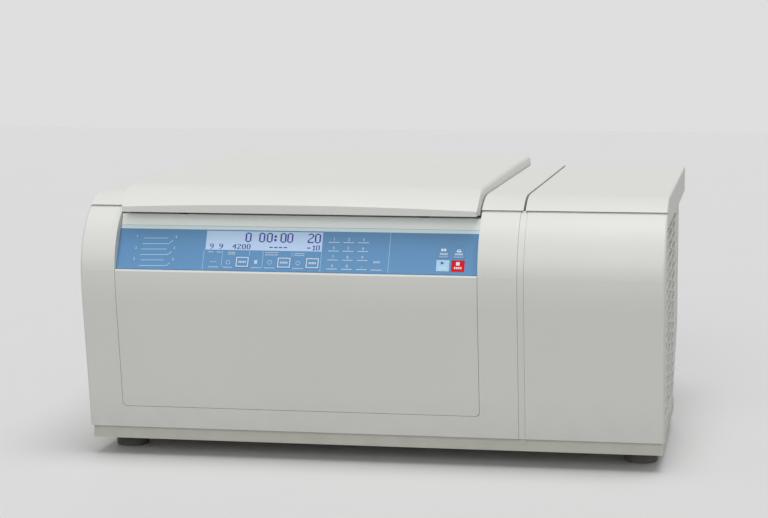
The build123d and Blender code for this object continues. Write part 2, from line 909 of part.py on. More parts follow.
def make_lid_liner():
    low = liner_level()
    front = at(lid_lip_back_depth) + lid_wall + seat_gap
    back = at(liner_rear_depth)
    top = low + liner_rim
    set_in = lid_wall + seat_gap
    pan = plan_block(-set_in, back, low, top) & block(lid_left, lid_right, front, back, low, top)
    pan -= (plan_block(-set_in - liner_thickness, back - liner_thickness, low + liner_thickness, top + 1)
            & block(lid_left, lid_right, front + liner_thickness, back, low, top + 1))
    dish_top = low + liner_dish_rise + liner_thickness
    slant = liner_dish_rise
    outer = [(0, low), (0, dish_top), (liner_dish_radius - slant, dish_top),
             (liner_dish_radius + liner_thickness, low + liner_thickness), (liner_dish_radius + liner_thickness, low)]
    inner = [(0, low), (0, dish_top - liner_thickness), (liner_dish_radius - slant, dish_top - liner_thickness),
             (liner_dish_radius, low)]
    pan += turned(outer, chamber_x, at(chamber_depth))
    pan -= turned(inner, chamber_x, at(chamber_depth))
    for x in hinge_places():
        half = hinge_arm_width / 2 + seat_gap
        pan -= block(x - half, x + half, back - liner_thickness * 2, back + 1, hinge_height - seat_gap,
                     low + liner_rim + 1)
    return pan


def hinge_places():
    middle = (lid_left + lid_right) / 2
    return [middle - hinge_offset_x, middle + hinge_offset_x]


def lock_places():
    middle = chamber_x
    return [middle - lock_offset_x, middle + lock_offset_x]


def make_hinge_arms():
    arms = []
    y = at(hinge_depth)
    top = liner_level() + liner_rim
    reach = at(hinge_depth - hinge_arm_reach)
    for x in hinge_places():
        low_x = x - hinge_arm_width / 2
        high_x = x + hinge_arm_width / 2
        arm = crosswise(hinge_eye_radius, low_x, high_x, y, hinge_height)
        arm += block(low_x, high_x, at(liner_rear_depth) - hinge_plate_thickness * 2, y,
                     hinge_height, hinge_height + hinge_eye_radius)
        arm += block(low_x - hinge_arm_width, high_x + hinge_arm_width, reach,
                     at(liner_rear_depth) - liner_thickness - seat_gap,
                     liner_level() + liner_thickness, top)
        arm += block(low_x, high_x, reach, at(liner_rear_depth), top, hinge_height + hinge_eye_radius)
        arm -= crosswise(hinge_pin_radius + run_clearance, low_x - 1, high_x + 1, y, hinge_height)
        arms.append(arm)
    return arms


def make_hinge_brackets():
    brackets = []
    y = at(hinge_depth)
    for x in hinge_places():
        bracket = None
        for side in (-1, 1):
            near = x + side * (hinge_arm_width / 2 + seat_gap)
            far = near + side * hinge_ear_width
            ear_low = min(near, far)
            ear_high = max(near, far)
            ear = crosswise(hinge_eye_radius, ear_low, ear_high, y, hinge_height - hinge_pin_radius / 2)
            ear += block(ear_low, ear_high, at(notch_depth), y, cover_skirt + cover_wall, hinge_height)
            ear += block(ear_low, ear_high, y, y + hinge_eye_radius / 2, cover_skirt + cover_wall,
                         hinge_height - hinge_eye_radius / 2)
            ear -= crosswise(hinge_pin_radius + run_clearance, ear_low - 1, ear_high + 1, y, hinge_height)
            bracket = ear if bracket is None else bracket + ear
        span = hinge_arm_width / 2 + seat_gap + hinge_ear_width
        bracket += block(x - span, x + span, at(notch_depth), at(notch_depth) + hinge_ear_width / 2,
                         cover_skirt + cover_wall, deck_height - deck_thickness)
        brackets.append(bracket)
    return brackets


def make_hinge_pins():
    pins = []
    for x in hinge_places():
        half = hinge_arm_width / 2 + seat_gap + hinge_ear_width
        pin = crosswise(hinge_pin_radius, x - half - sheet, x + half, at(hinge_depth), hinge_height)
        pin += crosswise(hinge_pin_head, x + half + run_clearance, x + half + sheet * 2, at(hinge_depth), hinge_height)
        pin += crosswise(hinge_pin_radius, x + half, x + half + sheet, at(hinge_depth), hinge_height)
        pins.append(pin)
    return pins


def make_lid_strikers():
    strikers = []
    top = liner_level()
    y = at(lock_depth)
    for x in lock_places():
        plate = block(x - striker_thickness / 2, x + striker_thickness / 2, y - striker_width / 2,
                      y + striker_width / 2, top - striker_drop, top)
        plate = fillet(plate.edges().filter_by(Axis.X).sort_by(Axis.Z)[:2], striker_thickness)
        plate += block(x - striker_width / 2, x + striker_width / 2, y - striker_width / 2,
                       y + striker_width / 2, top - striker_thickness / 2, top)
        plate -= crosswise(bolt_radius + striker_hole_gap, x - striker_thickness, x + striker_thickness,
                           y, bolt_height)
        strikers.append(plate)
    return strikers


def lock_left_end(x):
    return x - striker_thickness / 2 - bolt_rest_gap - lock_body_length


def make_lock_units():
    units = []
    y = at(lock_depth)
    top = deck_height - deck_thickness
    floor = liner_level() - striker_drop - lock_floor - seat_gap * 4
    for x in lock_places():
        left = lock_left_end(x)
        near = x - striker_thickness / 2 - bolt_rest_gap
        far = x + striker_thickness / 2 + bolt_rest_gap
        unit = block(left, near, y - lock_half_depth, y + lock_half_depth, floor, top)
        unit += block(near, far, y - lock_half_depth, y + lock_half_depth, floor, floor + lock_floor)
        unit += block(far, far + lock_wall, y - lock_half_depth, y + lock_half_depth, floor, top)
        unit -= crosswise(bolt_radius + run_clearance, left + lock_wall / 2, far + lock_wall + 1, y, bolt_height)
        units.append(unit)
    return units


def make_lock_bolt(x):
    nose = x - striker_thickness / 2 - bolt_rest_gap
    bolt = crosswise(bolt_radius, nose - bolt_length, nose, at(lock_depth), bolt_height)
    return chamfer(bolt.edges().sort_by(Axis.X)[-1:], bolt_radius / 4)


# Chamber


def bowl_section(grow):
    # half section of the bowl's outside, grown outwards for what wraps it
    radius = chamber_radius + grow
    return radius, chamber_floor - grow


def make_chamber_bowl():
    outer_radius, outer_floor = bowl_section(bowl_wall)
    rim = deck_height + bowl_wall
    corner = chamber_corner
    hole = boot_radius
    points_out = [(hole, outer_floor), (outer_radius - corner, outer_floor), (outer_radius, outer_floor + corner),
                  (outer_radius, deck_height), (outer_radius + bowl_flange_width, deck_height),
                  (outer_radius + bowl_flange_width, rim), (chamber_radius, rim),
                  (chamber_radius, chamber_floor + corner), (chamber_radius - corner, chamber_floor),
                  (hole, chamber_floor)]
    bend = corner * (1 - math.sqrt(0.5))
    edges = [Line(points_out[0], points_out[1]),
             ThreePointArc(points_out[1], (outer_radius - bend, outer_floor + bend), points_out[2]),
             Line(points_out[2], points_out[3]), Line(points_out[3], points_out[4]),
             Line(points_out[4], points_out[5]), Line(points_out[5], points_out[6]),
             Line(points_out[6], points_out[7]),
             ThreePointArc(points_out[7], (chamber_radius - bend, chamber_floor + bend), points_out[8]),
             Line(points_out[8], points_out[9]), Line(points_out[9], points_out[0])]
    return Pos(chamber_x, at(chamber_depth), 0) * revolve(Plane.XZ * make_face(edges), Axis.Z)


def make_chamber_boot():
    # rubber bellows cone that closes the bowl's floor round the shaft
    inner = shaft_radius + seat_gap * 4
    base = motor_flange_top
    outer = boot_radius - seat_gap
    top = chamber_floor + boot_rise
    wall = bowl_wall * 2
    points = [(outer - wall, base), (outer, base), (outer, chamber_floor + seat_gap), (inner + wall, top),
              (inner, top), (inner, top - wall), (outer - wall, chamber_floor - wall)]
    return turned(points, chamber_x, at(chamber_depth))


def make_lid_seal():
    inner = chamber_radius + bowl_wall + seal_width / 4
    low = deck_height + bowl_wall
    shoulder = seal_height / 2
    crown = seal_width / 2
    edges = [Line((inner, low), (inner + seal_width, low)),
             Line((inner + seal_width, low), (inner + seal_width, low + shoulder)),
             ThreePointArc((inner + seal_width, low + shoulder), (inner + crown, low + seal_height),
                           (inner, low + shoulder)),
             Line((inner, low + shoulder), (inner, low))]
    return Pos(chamber_x, at(chamber_depth), 0) * revolve(Plane.XZ * make_face(edges), Axis.Z)


def evaporator_radius():
    return chamber_radius + bowl_wall + evaporator_clearance + evaporator_tube_radius


def insulation_inner():
    return evaporator_radius() + evaporator_tube_radius + evaporator_clearance


def make_insulation():
    inner = insulation_inner()
    outer = inner + insulation_thickness - bowl_wall * 2
    low = chamber_floor - bowl_wall - seat_gap - insulation_thickness
    high = deck_height - deck_thickness - seat_gap
    floor = chamber_floor - bowl_wall - seat_gap
    points = [(boot_radius + seat_gap, low), (outer, low), (outer, high), (inner, high), (inner, floor),
              (boot_radius + seat_gap, floor)]
    shell = turned(points, chamber_x, at(chamber_depth))
    return shell - pipe(suction_route(), pipe_radius + seat_gap)


def make_armour_ring():
    inner = insulation_inner() + insulation_thickness - bowl_wall * 2 + seat_gap
    outer = inner + armour_thickness
    points = [(inner, armour_low), (outer, armour_low), (outer, armour_high), (inner, armour_high)]
    return turned(points, chamber_x, at(chamber_depth))


def helix_point(angle, radius, low, pitch):
    return Vector(radius * math.cos(angle), radius * math.sin(angle), low + pitch * angle / (2 * math.pi))


def helix_direction(angle, radius, pitch):
    climb = pitch / (2 * math.pi)
    return Vector(-radius * math.sin(angle), radius * math.cos(angle), climb).normalized()


def arc_from(start, way, end):
    # the one arc that leaves start along way and ends at end
    chord = end - start
    along = chord.normalized()
    aside = (way - along * way.dot(along)).normalized()
    sagitta = chord.length / 2 * math.tan(math.radians(way.get_angle(along)) / 2)
    return ThreePointArc(start, (start + end) * 0.5 + aside * sagitta, end)


def biarc(start, start_way, end, end_way):
    # two arcs that leave and arrive along the given directions
    chord = end - start
    both = start_way + end_way
    spread = 2 * (1 - start_way.dot(end_way))
    along = chord.dot(both)
    reach = (-along + math.sqrt(along ** 2 + spread * chord.dot(chord))) / spread
    meeting = (start + start_way * reach + end - end_way * reach) * 0.5
    back = arc_from(end, end_way * -1, meeting)
    return [arc_from(start, start_way, meeting), ThreePointArc(meeting, back @ 0.5, end)]


def evaporator_end():
    # the middle of the tube's upper end face, in the machine's frame
    radius = evaporator_radius()
    angle = evaporator_loops * 2 * math.pi
    last = helix_point(angle, radius, evaporator_low, evaporator_pitch)
    way = helix_direction(angle, radius, evaporator_pitch)
    return Vector(chamber_x, at(chamber_depth), 0) + last + way * (evaporator_tube_radius * 2 + seat_gap)


def make_evaporator_coil():
    radius = evaporator_radius()
    tube = evaporator_tube_radius
    steps = evaporator_loops * 4
    edges = []
    for step in range(steps):
        a = step * math.pi / 2
        b = a + math.pi / 2
        edges += biarc(helix_point(a, radius, evaporator_low, evaporator_pitch),
                       helix_direction(a, radius, evaporator_pitch),
                       helix_point(b, radius, evaporator_low, evaporator_pitch),
                       helix_direction(b, radius, evaporator_pitch))
    first = helix_point(0, radius, evaporator_low, evaporator_pitch)
    way = helix_direction(0, radius, evaporator_pitch)
    last = helix_point(steps * math.pi / 2, radius, evaporator_low, evaporator_pitch)
    start = first - way * tube * 2
    edges = [Line(start, first)] + edges + [Line(last, last + way * tube * 2)]
    path = Wire(edges)
    profile = Plane(origin=start, z_dir=way) * Circle(tube)
    coil = sweep(profile, path=path)
    least = evaporator_pitch * math.cos(math.atan2(evaporator_pitch, 2 * math.pi * radius)) - 2 * tube
    print("evaporator: least gap between loops %.2f mm" % least)
    print("evaporator: volume over section times length %.4f" % (coil.volume / (math.pi * tube ** 2 * path.length)))
    return Pos(chamber_x, at(chamber_depth), 0) * coil


# Motor


def buffer_places():
    for number in range(buffer_count):
        angle = math.pi / 2 + 2 * math.pi / buffer_count * number
        yield chamber_x + buffer_circle * math.cos(angle), at(chamber_depth) + buffer_circle * math.sin(angle), angle


def buffer_low():
    return motor_flange_top - motor_flange_thickness - buffer_height


def make_motor_plate():
    x = chamber_x
    y = at(chamber_depth)
    top = buffer_low()
    plate = upright(plate_radius, x, y, top - plate_thickness, top)
    floor = foot_height + pan_wall
    for leg_x, leg_y, angle in buffer_places():
        leg = Box(plate_thickness, leg_width, top - floor)
        shift = plate_radius - plate_thickness
        leg = Pos(x + shift * math.cos(angle), y + shift * math.sin(angle), (top + floor) / 2) * \
            Rotation(0, 0, math.degrees(angle)) * leg
        plate += leg
    plate -= upright(motor_radius + motor_fin_height + seat_gap * 6, x, y, top - plate_thickness * 2, top + 1)
    return plate


def make_motor_mounts():
    low = buffer_low()
    mounts = []
    for x, y, angle in buffer_places():
        points = [(0, low), (buffer_radius, low), (buffer_waist, low + buffer_height / 2),
                  (buffer_radius, low + buffer_height), (0, low + buffer_height)]
        mounts.append(turned(points, x, y))
    return mounts


def make_motor_housing():
    x = chamber_x
    y = at(chamber_depth)
    flange_low = motor_flange_top - motor_flange_thickness
    body = upright(motor_radius, x, y, motor_bottom, flange_low)
    body = chamfer(body.edges().sort_by(Axis.Z)[:1], motor_fin_height)
    body += upright(motor_flange_radius, x, y, flange_low, motor_flange_top)
    for number in range(motor_fin_count):
        angle = 360 / motor_fin_count * number
        fin = Pos(motor_radius + motor_fin_height / 2 - 1, 0, (motor_bottom + buffer_low()) / 2) * \
            Box(motor_fin_height + 2, motor_fin_width, buffer_low() - motor_bottom - motor_fin_height * 4)
        body += Pos(x, y, 0) * Rotation(0, 0, angle) * fin
    body -= upright(bearing_outer_radius + run_clearance, x, y, bearing_low, motor_flange_top + 1)
    return body


def make_motor_bearings():
    x = chamber_x
    y = at(chamber_depth)
    rings = []
    for low in (bearing_low, bearing_high):
        ring = upright(bearing_outer_radius, x, y, low, low + bearing_width)
        ring -= upright(shaft_radius + run_clearance, x, y, low - 1, low + bearing_width + 1)
        rings.append(ring)
    return rings


def make_drive_shaft():
    return upright(shaft_radius, chamber_x, at(chamber_depth), shaft_bottom, shaft_top + nut_height)


# Swing-out rotor


def make_rotor_cross():
    x = chamber_x
    y = at(chamber_depth)
    cross = upright(rotor_hub_radius, 0, 0, rotor_hub_low, rotor_high)
    cross = fillet(cross.edges().sort_by(Axis.Z)[:1], bowl_wall * 2)
    thick = rotor_high - rotor_low
    mid = (rotor_high + rotor_low) / 2
    for number in range(4):
        turn = Rotation(0, 0, 90 * number + 45)
        head_at = math.hypot(pin_circle, pin_face) * math.cos(math.radians(45) - math.atan2(pin_face, pin_circle))
        arm = Pos(head_at / 2, 0, mid) * Box(head_at, arm_half_width * 2, thick)
        head = Pos(head_at, 0, mid) * Box(head_thickness * 2, (pin_circle - pin_face) * math.sqrt(2), thick)
        cross += turn * (arm + head)
    for number in range(4):
        turn = Rotation(0, 0, 90 * number)
        for side in (-1, 1):
            face = pin_face * side
            tip = (pin_face - pin_length) * side
            clear = Pos(pin_circle, side * (pin_face - head_thickness * 2), mid) * \
                Box(head_thickness * 5, head_thickness * 4, thick + 2)
            cross -= turn * clear
            pin = Pos(pin_circle, (face + tip) / 2, pin_height) * Rotation(90, 0, 0) * \
                Cylinder(pin_radius, pin_length)
            cross += turn * pin
    cross -= upright(shaft_radius + run_clearance, 0, 0, rotor_hub_low - 1, rotor_high + 1)
    return Pos(x, y, 0) * cross


def make_rotor_nut():
    low = rotor_high
    nut = extrude(RegularPolygon(nut_radius, nut_sides), nut_height)
    nut = Pos(chamber_x, at(chamber_depth), low) * nut
    nut += upright(nut_radius + bowl_wall, chamber_x, at(chamber_depth), low, low + nut_height / 4)
    nut -= upright(shaft_radius + run_clearance, chamber_x, at(chamber_depth), low - 1, shaft_top + nut_height)
    return nut


def make_bucket(number):
    top = pin_height + bucket_above_pin
    low = pin_height - bucket_below_pin
    outer = upright(bucket_radius, 0, 0, low, top)
    outer = fillet(outer.edges().sort_by(Axis.Z)[:1], bucket_corner)
    inner = upright(bucket_radius - bucket_wall, 0, 0, low + bucket_wall, top + 1)
    inner = fillet(inner.edges().sort_by(Axis.Z)[:1], bucket_corner - bucket_wall)
    for side in (-1, 1):
        near = bucket_radius - bucket_wall * 2
        far = near + bucket_wall * 2 + ear_thickness - seat_gap
        middle = (near + far) / 2 * side
        boss = Pos(0, middle, pin_height) * Rotation(90, 0, 0) * Cylinder(ear_radius, far - near)
        outer += boss
    cup = outer - inner
    for side in (-1, 1):
        depth = pin_length + run_clearance + seat_gap
        hole = Pos(0, side * (pin_face - depth / 2), pin_height) * Rotation(90, 0, 0) * \
            Cylinder(pin_radius + run_clearance, depth)
        cup -= hole
    place = Pos(chamber_x, at(chamber_depth), 0) * Rotation(0, 0, 90 * number) * Pos(pin_circle, 0, 0)
    return place * cup


# Cooling unit


def make_compressor():
    x = compressor_x
    y = at(compressor_depth)
    low = foot_height + pan_wall + grommet_height
    plate = block(x - compressor_plate_half, x + compressor_plate_half, y - compressor_plate_half,
                  y + compressor_plate_half, low, low + compressor_plate_thickness)
    plate = fillet(plate.edges().filter_by(Axis.Z), grommet_radius)
    base = low + compressor_plate_thickness
    shoulder = base + compressor_height - compressor_dome
    top = base + compressor_height
    radius = compressor_radius
    can = upright(radius, x, y, base, top)
    can = fillet(can.edges().sort_by(Axis.Z)[-1:], compressor_dome)
    can = chamfer(can.edges().sort_by(Axis.Z)[:1], compressor_dome / 3)
    seam = upright(radius + sheet, x, y, shoulder - compressor_dome, shoulder - compressor_dome + sheet * 2)
    stubs = upright(stub_radius, x + stub_offset, y, shoulder, top + stub_length)
    stubs += upright(stub_radius, x - stub_offset, y, shoulder, top + stub_length)
    box = block(x - terminal_width / 2, x + terminal_width / 2, y - radius - terminal_depth / 2, y - compressor_box_reach,
                base + terminal_height, base + terminal_height * 2)
    return plate + can + seam + stubs + box


def make_compressor_grommets():
    low = foot_height + pan_wall
    inset = compressor_plate_half - grommet_inset
    parts = []
    for side_x in (-1, 1):
        for side_y in (-1, 1):
            parts.append(upright(grommet_radius, compressor_x + side_x * inset,
                                 at(compressor_depth) + side_y * inset, low, low + grommet_height))
    return parts


def make_condenser():
    inner_x = condenser_outer_x - condenser_thickness
    front = at(condenser_front_depth)
    rear = at(condenser_rear_depth)
    low = condenser_low
    stack = None
    pitch = (rear - front - condenser_frame) / (fin_count - 1)
    for number in range(fin_count):
        y = front + number * pitch
        thick = condenser_frame if number in (0, fin_count - 1) else fin_thickness
        fin = block(inner_x, condenser_outer_x, y, y + thick, low, condenser_top)
        stack = fin if stack is None else stack + fin
    tubes = []
    row_pitch = (condenser_top - low) / fin_tube_rows
    for row in range(fin_tube_rows):
        z = low + row_pitch * (row + 0.5)
        tubes.append(fore_aft(fin_tube_radius, (inner_x + condenser_outer_x) / 2, front - condenser_frame * 2,
                              rear + condenser_frame * 2, z))
    return stack + tubes


def fan_axis():
    y = at((condenser_front_depth + condenser_rear_depth) / 2)
    z = (condenser_low + condenser_top) / 2
    return y, z


def shroud_face_x():
    return condenser_outer_x - condenser_thickness - shroud_gap


def make_fan_shroud():
    y, z = fan_axis()
    x_high = shroud_face_x()
    x_low = x_high - shroud_thickness
    mouth = fan_radius + fan_tip_gap
    front = at(condenser_front_depth)
    rear = at(condenser_rear_depth)
    floor = foot_height + pan_wall
    plate = block(x_low, x_high, front, rear, condenser_low, condenser_top)
    plate += block(x_low, x_high, front, at(pan_rear_depth) - pan_wall - seam_gap, floor, condenser_low)
    plate += block(x_high, condenser_outer_x, front, rear, condenser_low - shroud_thickness - seat_gap,
                   condenser_low - seat_gap)
    plate += block(x_low, x_high, front, rear, condenser_low - shroud_thickness - seat_gap, condenser_low)
    ring_low = x_high - shroud_ring_depth
    plate += crosswise(mouth + shroud_ring_wall, ring_low, x_low, y, z)
    plate -= crosswise(mouth, ring_low - 1, x_high + 1, y, z)
    motor_low, motor_high = fan_motor_span()
    for number in range(fan_spoke_count):
        angle = 360 / fan_spoke_count * number + 30
        spoke = Pos(0, 0, (mouth + fan_motor_radius) / 2) * \
            Box(shroud_ring_wall, fan_spoke_width, mouth - fan_motor_radius + shroud_ring_wall * 2)
        spoke = Rotation(angle, 0, 0) * spoke
        plate += Pos(ring_low - shroud_ring_wall / 2, y, z) * spoke
    collar = crosswise(fan_motor_radius + shroud_ring_wall * 2, ring_low - shroud_ring_wall, ring_low, y, z)
    bore = crosswise(fan_motor_radius + run_clearance, ring_low - shroud_ring_wall * 2, ring_low, y, z)
    return plate + collar - bore


def fan_motor_span():
    high = shroud_face_x() - shroud_ring_depth
    return high - fan_motor_length, high


def make_fan_motor():
    y, z = fan_axis()
    low, high = fan_motor_span()
    can = crosswise(fan_motor_radius, low, high, y, z)
    can = chamfer(can.edges().sort_by(Axis.X)[:1], shroud_ring_wall * 2)
    can -= crosswise(fan_shaft_radius + run_clearance, high - fan_motor_length / 2, high + 1, y, z)
    return can


def make_fan_blade():
    y, z = fan_axis()
    motor_high = fan_motor_span()[1]
    hub_low = motor_high + fan_motor_gap
    hub = crosswise(fan_hub_radius, hub_low, hub_low + fan_hub_depth, 0, 0)
    hub = fillet(hub.edges().sort_by(Axis.X)[-1:], fan_blade_thickness * 2)
    hub += crosswise(fan_shaft_radius, motor_high - fan_motor_length / 3, hub_low, 0, 0)
    middle = hub_low + fan_hub_depth / 2
    for number in range(fan_blade_count):
        sections = []
        for radius, pitch, chord in ((fan_hub_radius - fan_root_inset, fan_root_pitch, fan_root_chord),
                                     (fan_radius, fan_tip_pitch, fan_tip_chord)):
            plane = Plane(origin=(middle, 0, radius), x_dir=(0, 1, 0), z_dir=(0, 0, 1))
            bow = ThreePointArc((-chord / 2, 0), (0, fan_blade_thickness * 2), (chord / 2, 0))
            lower = ThreePointArc((chord / 2, 0), (0, fan_blade_thickness), (-chord / 2, 0))
            sections.append(plane * Rotation(0, 0, pitch) * make_face([bow, lower]))
        blade = loft(sections, ruled=True)
        hub += Rotation(360 / fan_blade_count * number, 0, 0) * blade
    return Pos(0, y, z) * hub


def make_filter_drier():
    x = drier_x
    y = at(drier_depth)
    top = drier_low + drier_length
    neck = drier_radius
    points = [(0, drier_low - neck), (drier_neck_radius, drier_low - neck), (drier_neck_radius, drier_low - neck / 3),
              (drier_radius, drier_low + neck / 3), (drier_radius, top - neck / 3), (drier_neck_radius, top + neck / 3),
              (drier_neck_radius, top + neck), (0, top + neck)]
    return turned(points, x, y)


def drier_clip():
    x = drier_x
    y = at(drier_depth)
    middle = drier_low + drier_length / 2
    hold = drier_radius + run_clearance
    band = upright(hold + clip_wall, x, y, middle, middle + clip_width)
    post = block(x - clip_width / 2, x + clip_width / 2, y + hold, y + hold + clip_wall,
                 foot_height + pan_wall, middle + clip_width)
    foot = block(x - clip_width / 2, x + clip_width / 2, y + hold, y + hold + clip_width,
                 foot_height + pan_wall, foot_height + pan_wall + clip_wall)
    return band + post + foot - upright(hold, x, y, middle - 1, middle + clip_width + 1)


def pipe(points, radius):
    path = FilletPolyline(*points, radius=pipe_bend)
    start = Vector(*points[0])
    way = (Vector(*points[1]) - start).normalized()
    return sweep(Plane(origin=start, z_dir=way) * Circle(radius), path=path)


def compressor_ports():
    top = foot_height + pan_wall + grommet_height + compressor_plate_thickness + compressor_height + stub_length
    y = at(compressor_depth)
    return (compressor_x + stub_offset, y, top), (compressor_x - stub_offset, y, top)


def make_discharge_pipe():
    # from the compressor's right stub up and back to the condenser's top row
    x, y, z = compressor_ports()[0]
    row = condenser_top - (condenser_top - condenser_low) / fin_tube_rows / 2
    tube_x = condenser_outer_x - condenser_thickness / 2
    end = at(condenser_front_depth) - condenser_frame * 2
    return pipe([(x, y, z), (x, y, row), (tube_x, y, row), (tube_x, end, row)], pipe_radius)


def suction_route():
    x, y, z = compressor_ports()[1]
    end = evaporator_end()
    turn_y = end.Y + suction_lead
    return [(x, y, z), (x, y, end.Z), (x, turn_y, end.Z), (end.X, turn_y, end.Z), (end.X, end.Y, end.Z)]


def make_suction_pipe():
    # from the top of the evaporator out over the armour ring to the compressor
    return pipe(suction_route(), pipe_radius)


# Power module, mains inlet and switch


def make_power_module():
    low = foot_height + pan_wall
    x_low = module_x - module_half_width
    x_high = module_x + module_half_width
    body = block(x_low + module_fin_height, x_high, at(module_front_depth), at(pan_rear_depth) - pan_wall - seam_gap,
                 low, module_top / 2)
    body += block(x_low + module_fin_height, x_high, at(module_front_depth), at(module_rear_depth),
                  module_top / 2, module_top)
    pitch = (module_rear_depth - module_front_depth - module_fin_width) / (module_fin_count - 1)
    for number in range(module_fin_count):
        y = at(module_front_depth) + number * pitch
        body += block(x_low, x_low + module_fin_height + 1, y, y + module_fin_width, module_top / 2, module_top)
    return body


def mains_span():
    return inlet_x - inlet_width / 2, switch_x + switch_width / 2


def make_mains_inlet():
    # one moulding that holds the inlet socket with its blades and the pins of the rocker
    y = at(body_depth)
    x_low, x_high = mains_span()
    half_t = switch_tall / 2
    body = block(x_low, x_high, y - inlet_body_depth, y, inlet_height - half_t, inlet_height + half_t)
    body += block(x_low - inlet_flange, x_high + inlet_flange, y, y + inlet_flange_thickness,
                  inlet_height - half_t - inlet_flange, inlet_height + half_t + inlet_flange)
    for x, half_w, half_z, wall in ((inlet_x, inlet_width / 2, inlet_tall / 2, inlet_wall),
                                    (switch_x, switch_width / 2, half_t, switch_wall)):
        body -= block(x - half_w + wall, x + half_w - wall, y - inlet_cavity_depth, y + inlet_flange_thickness + 1,
                      inlet_height - half_z + wall, inlet_height + half_z - wall)
    for number in (-1, 0, 1):
        x = inlet_x + number * blade_pitch
        body += block(x - blade_thickness / 2, x + blade_thickness / 2, y - inlet_cavity_depth - 1, y - 1,
                      inlet_height - blade_width / 2, inlet_height + blade_width / 2)
    wall_x = switch_width / 2 - switch_wall
    for side in (-1, 1):
        near = switch_x + side * wall_x
        far = near - side * switch_wall
        body += crosswise(rocker_pin_radius, min(near, far), max(near, far), y - rocker_pivot_inset, inlet_height)
    return body


def make_mains_rocker():
    # a rocker whose outer face is a shallow vee, resting with its lower half pressed in
    y = at(body_depth) - rocker_pivot_inset
    half_w = switch_width / 2 - switch_wall - seat_gap
    half_t = switch_tall / 2 - switch_wall - rocker_end_gap
    rise = half_t * math.tan(math.radians(rocker_angle) / 2)
    face = rocker_pivot_inset + inlet_flange_thickness
    outline = Polyline((-half_t, face + rise), (0, face), (half_t, face + rise), (half_t - rocker_end_gap, 0),
                       (0, -rocker_keel), (-half_t + rocker_end_gap, 0), close=True)
    body = extrude(Plane.YZ * make_face(outline), half_w, both=True)
    body = Rotation(-90, 0, 0) * body
    body = Rotation(rocker_angle / 2, 0, 0) * body
    rocker = Pos(switch_x, y, inlet_height) * body
    return rocker - crosswise(rocker_pin_radius + run_clearance, switch_x - switch_width,
                              switch_x + switch_width, y, inlet_height)


nodes = {
    "base_pan": make_base_pan(),
    "feet": make_feet(),
    "front_panel_main": make_front_panel_main(),
    "front_panel_cooling": make_front_panel_cooling(),
    "joint_strip": make_joint_strip(),
    "access_panel": make_access_panel(),
    "control_bezel": make_control_bezel(),
    "control_foil": make_control_foil(),
    "display_module": make_display_module(),
    "control_board": make_control_board(),
    "left_side_panel": make_left_side_panel(),
    "right_side_panel": make_right_side_panel(),
    "rear_panel": make_rear_panel(),
    "cover_screws": make_cover_screws(),
    "top_cover_main": make_top_cover_main(),
    "top_cover_cooling": make_top_cover_cooling(),
    "lid_shell": make_lid_shell(),
    "lid_liner": make_lid_liner(),
    "lid_seal": make_lid_seal(),
    "lid_hinge_arms": make_hinge_arms(),
    "lid_hinge_brackets": make_hinge_brackets(),
    "lid_hinge_pins": make_hinge_pins(),
    "lid_strikers": make_lid_strikers(),
    "lock_units": make_lock_units(),
    "lock_bolt_left": make_lock_bolt(lock_places()[0]),
    "lock_bolt_right": make_lock_bolt(lock_places()[1]),
    "chamber_bowl": make_chamber_bowl(),
    "chamber_boot": make_chamber_boot(),
    "evaporator_coil": make_evaporator_coil(),
    "insulation": make_insulation(),
    "armour_ring": make_armour_ring(),
    "motor_plate": make_motor_plate(),
    "motor_mounts": make_motor_mounts(),
    "motor_housing": make_motor_housing(),
    "motor_bearings": make_motor_bearings(),
    "drive_shaft": make_drive_shaft(),
    "rotor_cross": make_rotor_cross(),
    "rotor_nut": make_rotor_nut(),
    "compressor": make_compressor(),
    "compressor_grommets": make_compressor_grommets(),
    "condenser": make_condenser(),
    "fan_shroud": make_fan_shroud(),
    "fan_motor": make_fan_motor(),
    "fan_blade": make_fan_blade(),
    "filter_drier": make_filter_drier(),
    "refrigerant_pipes": [make_discharge_pipe(), make_suction_pipe()],
    "power_module": make_power_module(),
    "mains_inlet": make_mains_inlet(),
    "mains_rocker": make_mains_rocker(),
}
for key_name in keys:
    nodes[key_name] = make_key(key_name)
for place in range(4):
    nodes["bucket_%d" % (place + 1)] = make_bucket(place)

os.makedirs("parts", exist_ok=True)
for node_name, shape in nodes.items():
    if isinstance(shape, list):
        shape = Compound(children=shape)
    export_step(shape, "parts/%s.step" % node_name)
print("%d nodes" % len(nodes))
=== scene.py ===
import math
import bmesh
import bpy
from mathutils import Euler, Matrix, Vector


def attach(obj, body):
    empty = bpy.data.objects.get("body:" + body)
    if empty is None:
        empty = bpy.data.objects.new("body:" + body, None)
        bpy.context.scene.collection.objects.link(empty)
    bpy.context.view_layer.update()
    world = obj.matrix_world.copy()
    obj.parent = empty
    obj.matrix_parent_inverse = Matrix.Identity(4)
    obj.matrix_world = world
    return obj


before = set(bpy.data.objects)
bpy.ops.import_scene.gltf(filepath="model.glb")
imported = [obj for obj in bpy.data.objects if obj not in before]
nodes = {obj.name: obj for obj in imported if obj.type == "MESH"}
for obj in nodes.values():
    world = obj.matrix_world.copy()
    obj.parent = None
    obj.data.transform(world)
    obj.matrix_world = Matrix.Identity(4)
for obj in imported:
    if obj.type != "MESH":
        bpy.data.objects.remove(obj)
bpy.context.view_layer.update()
scene = bpy.context.scene
print("frame loaded:", len(nodes), "nodes")


# Camera, bench and lamps

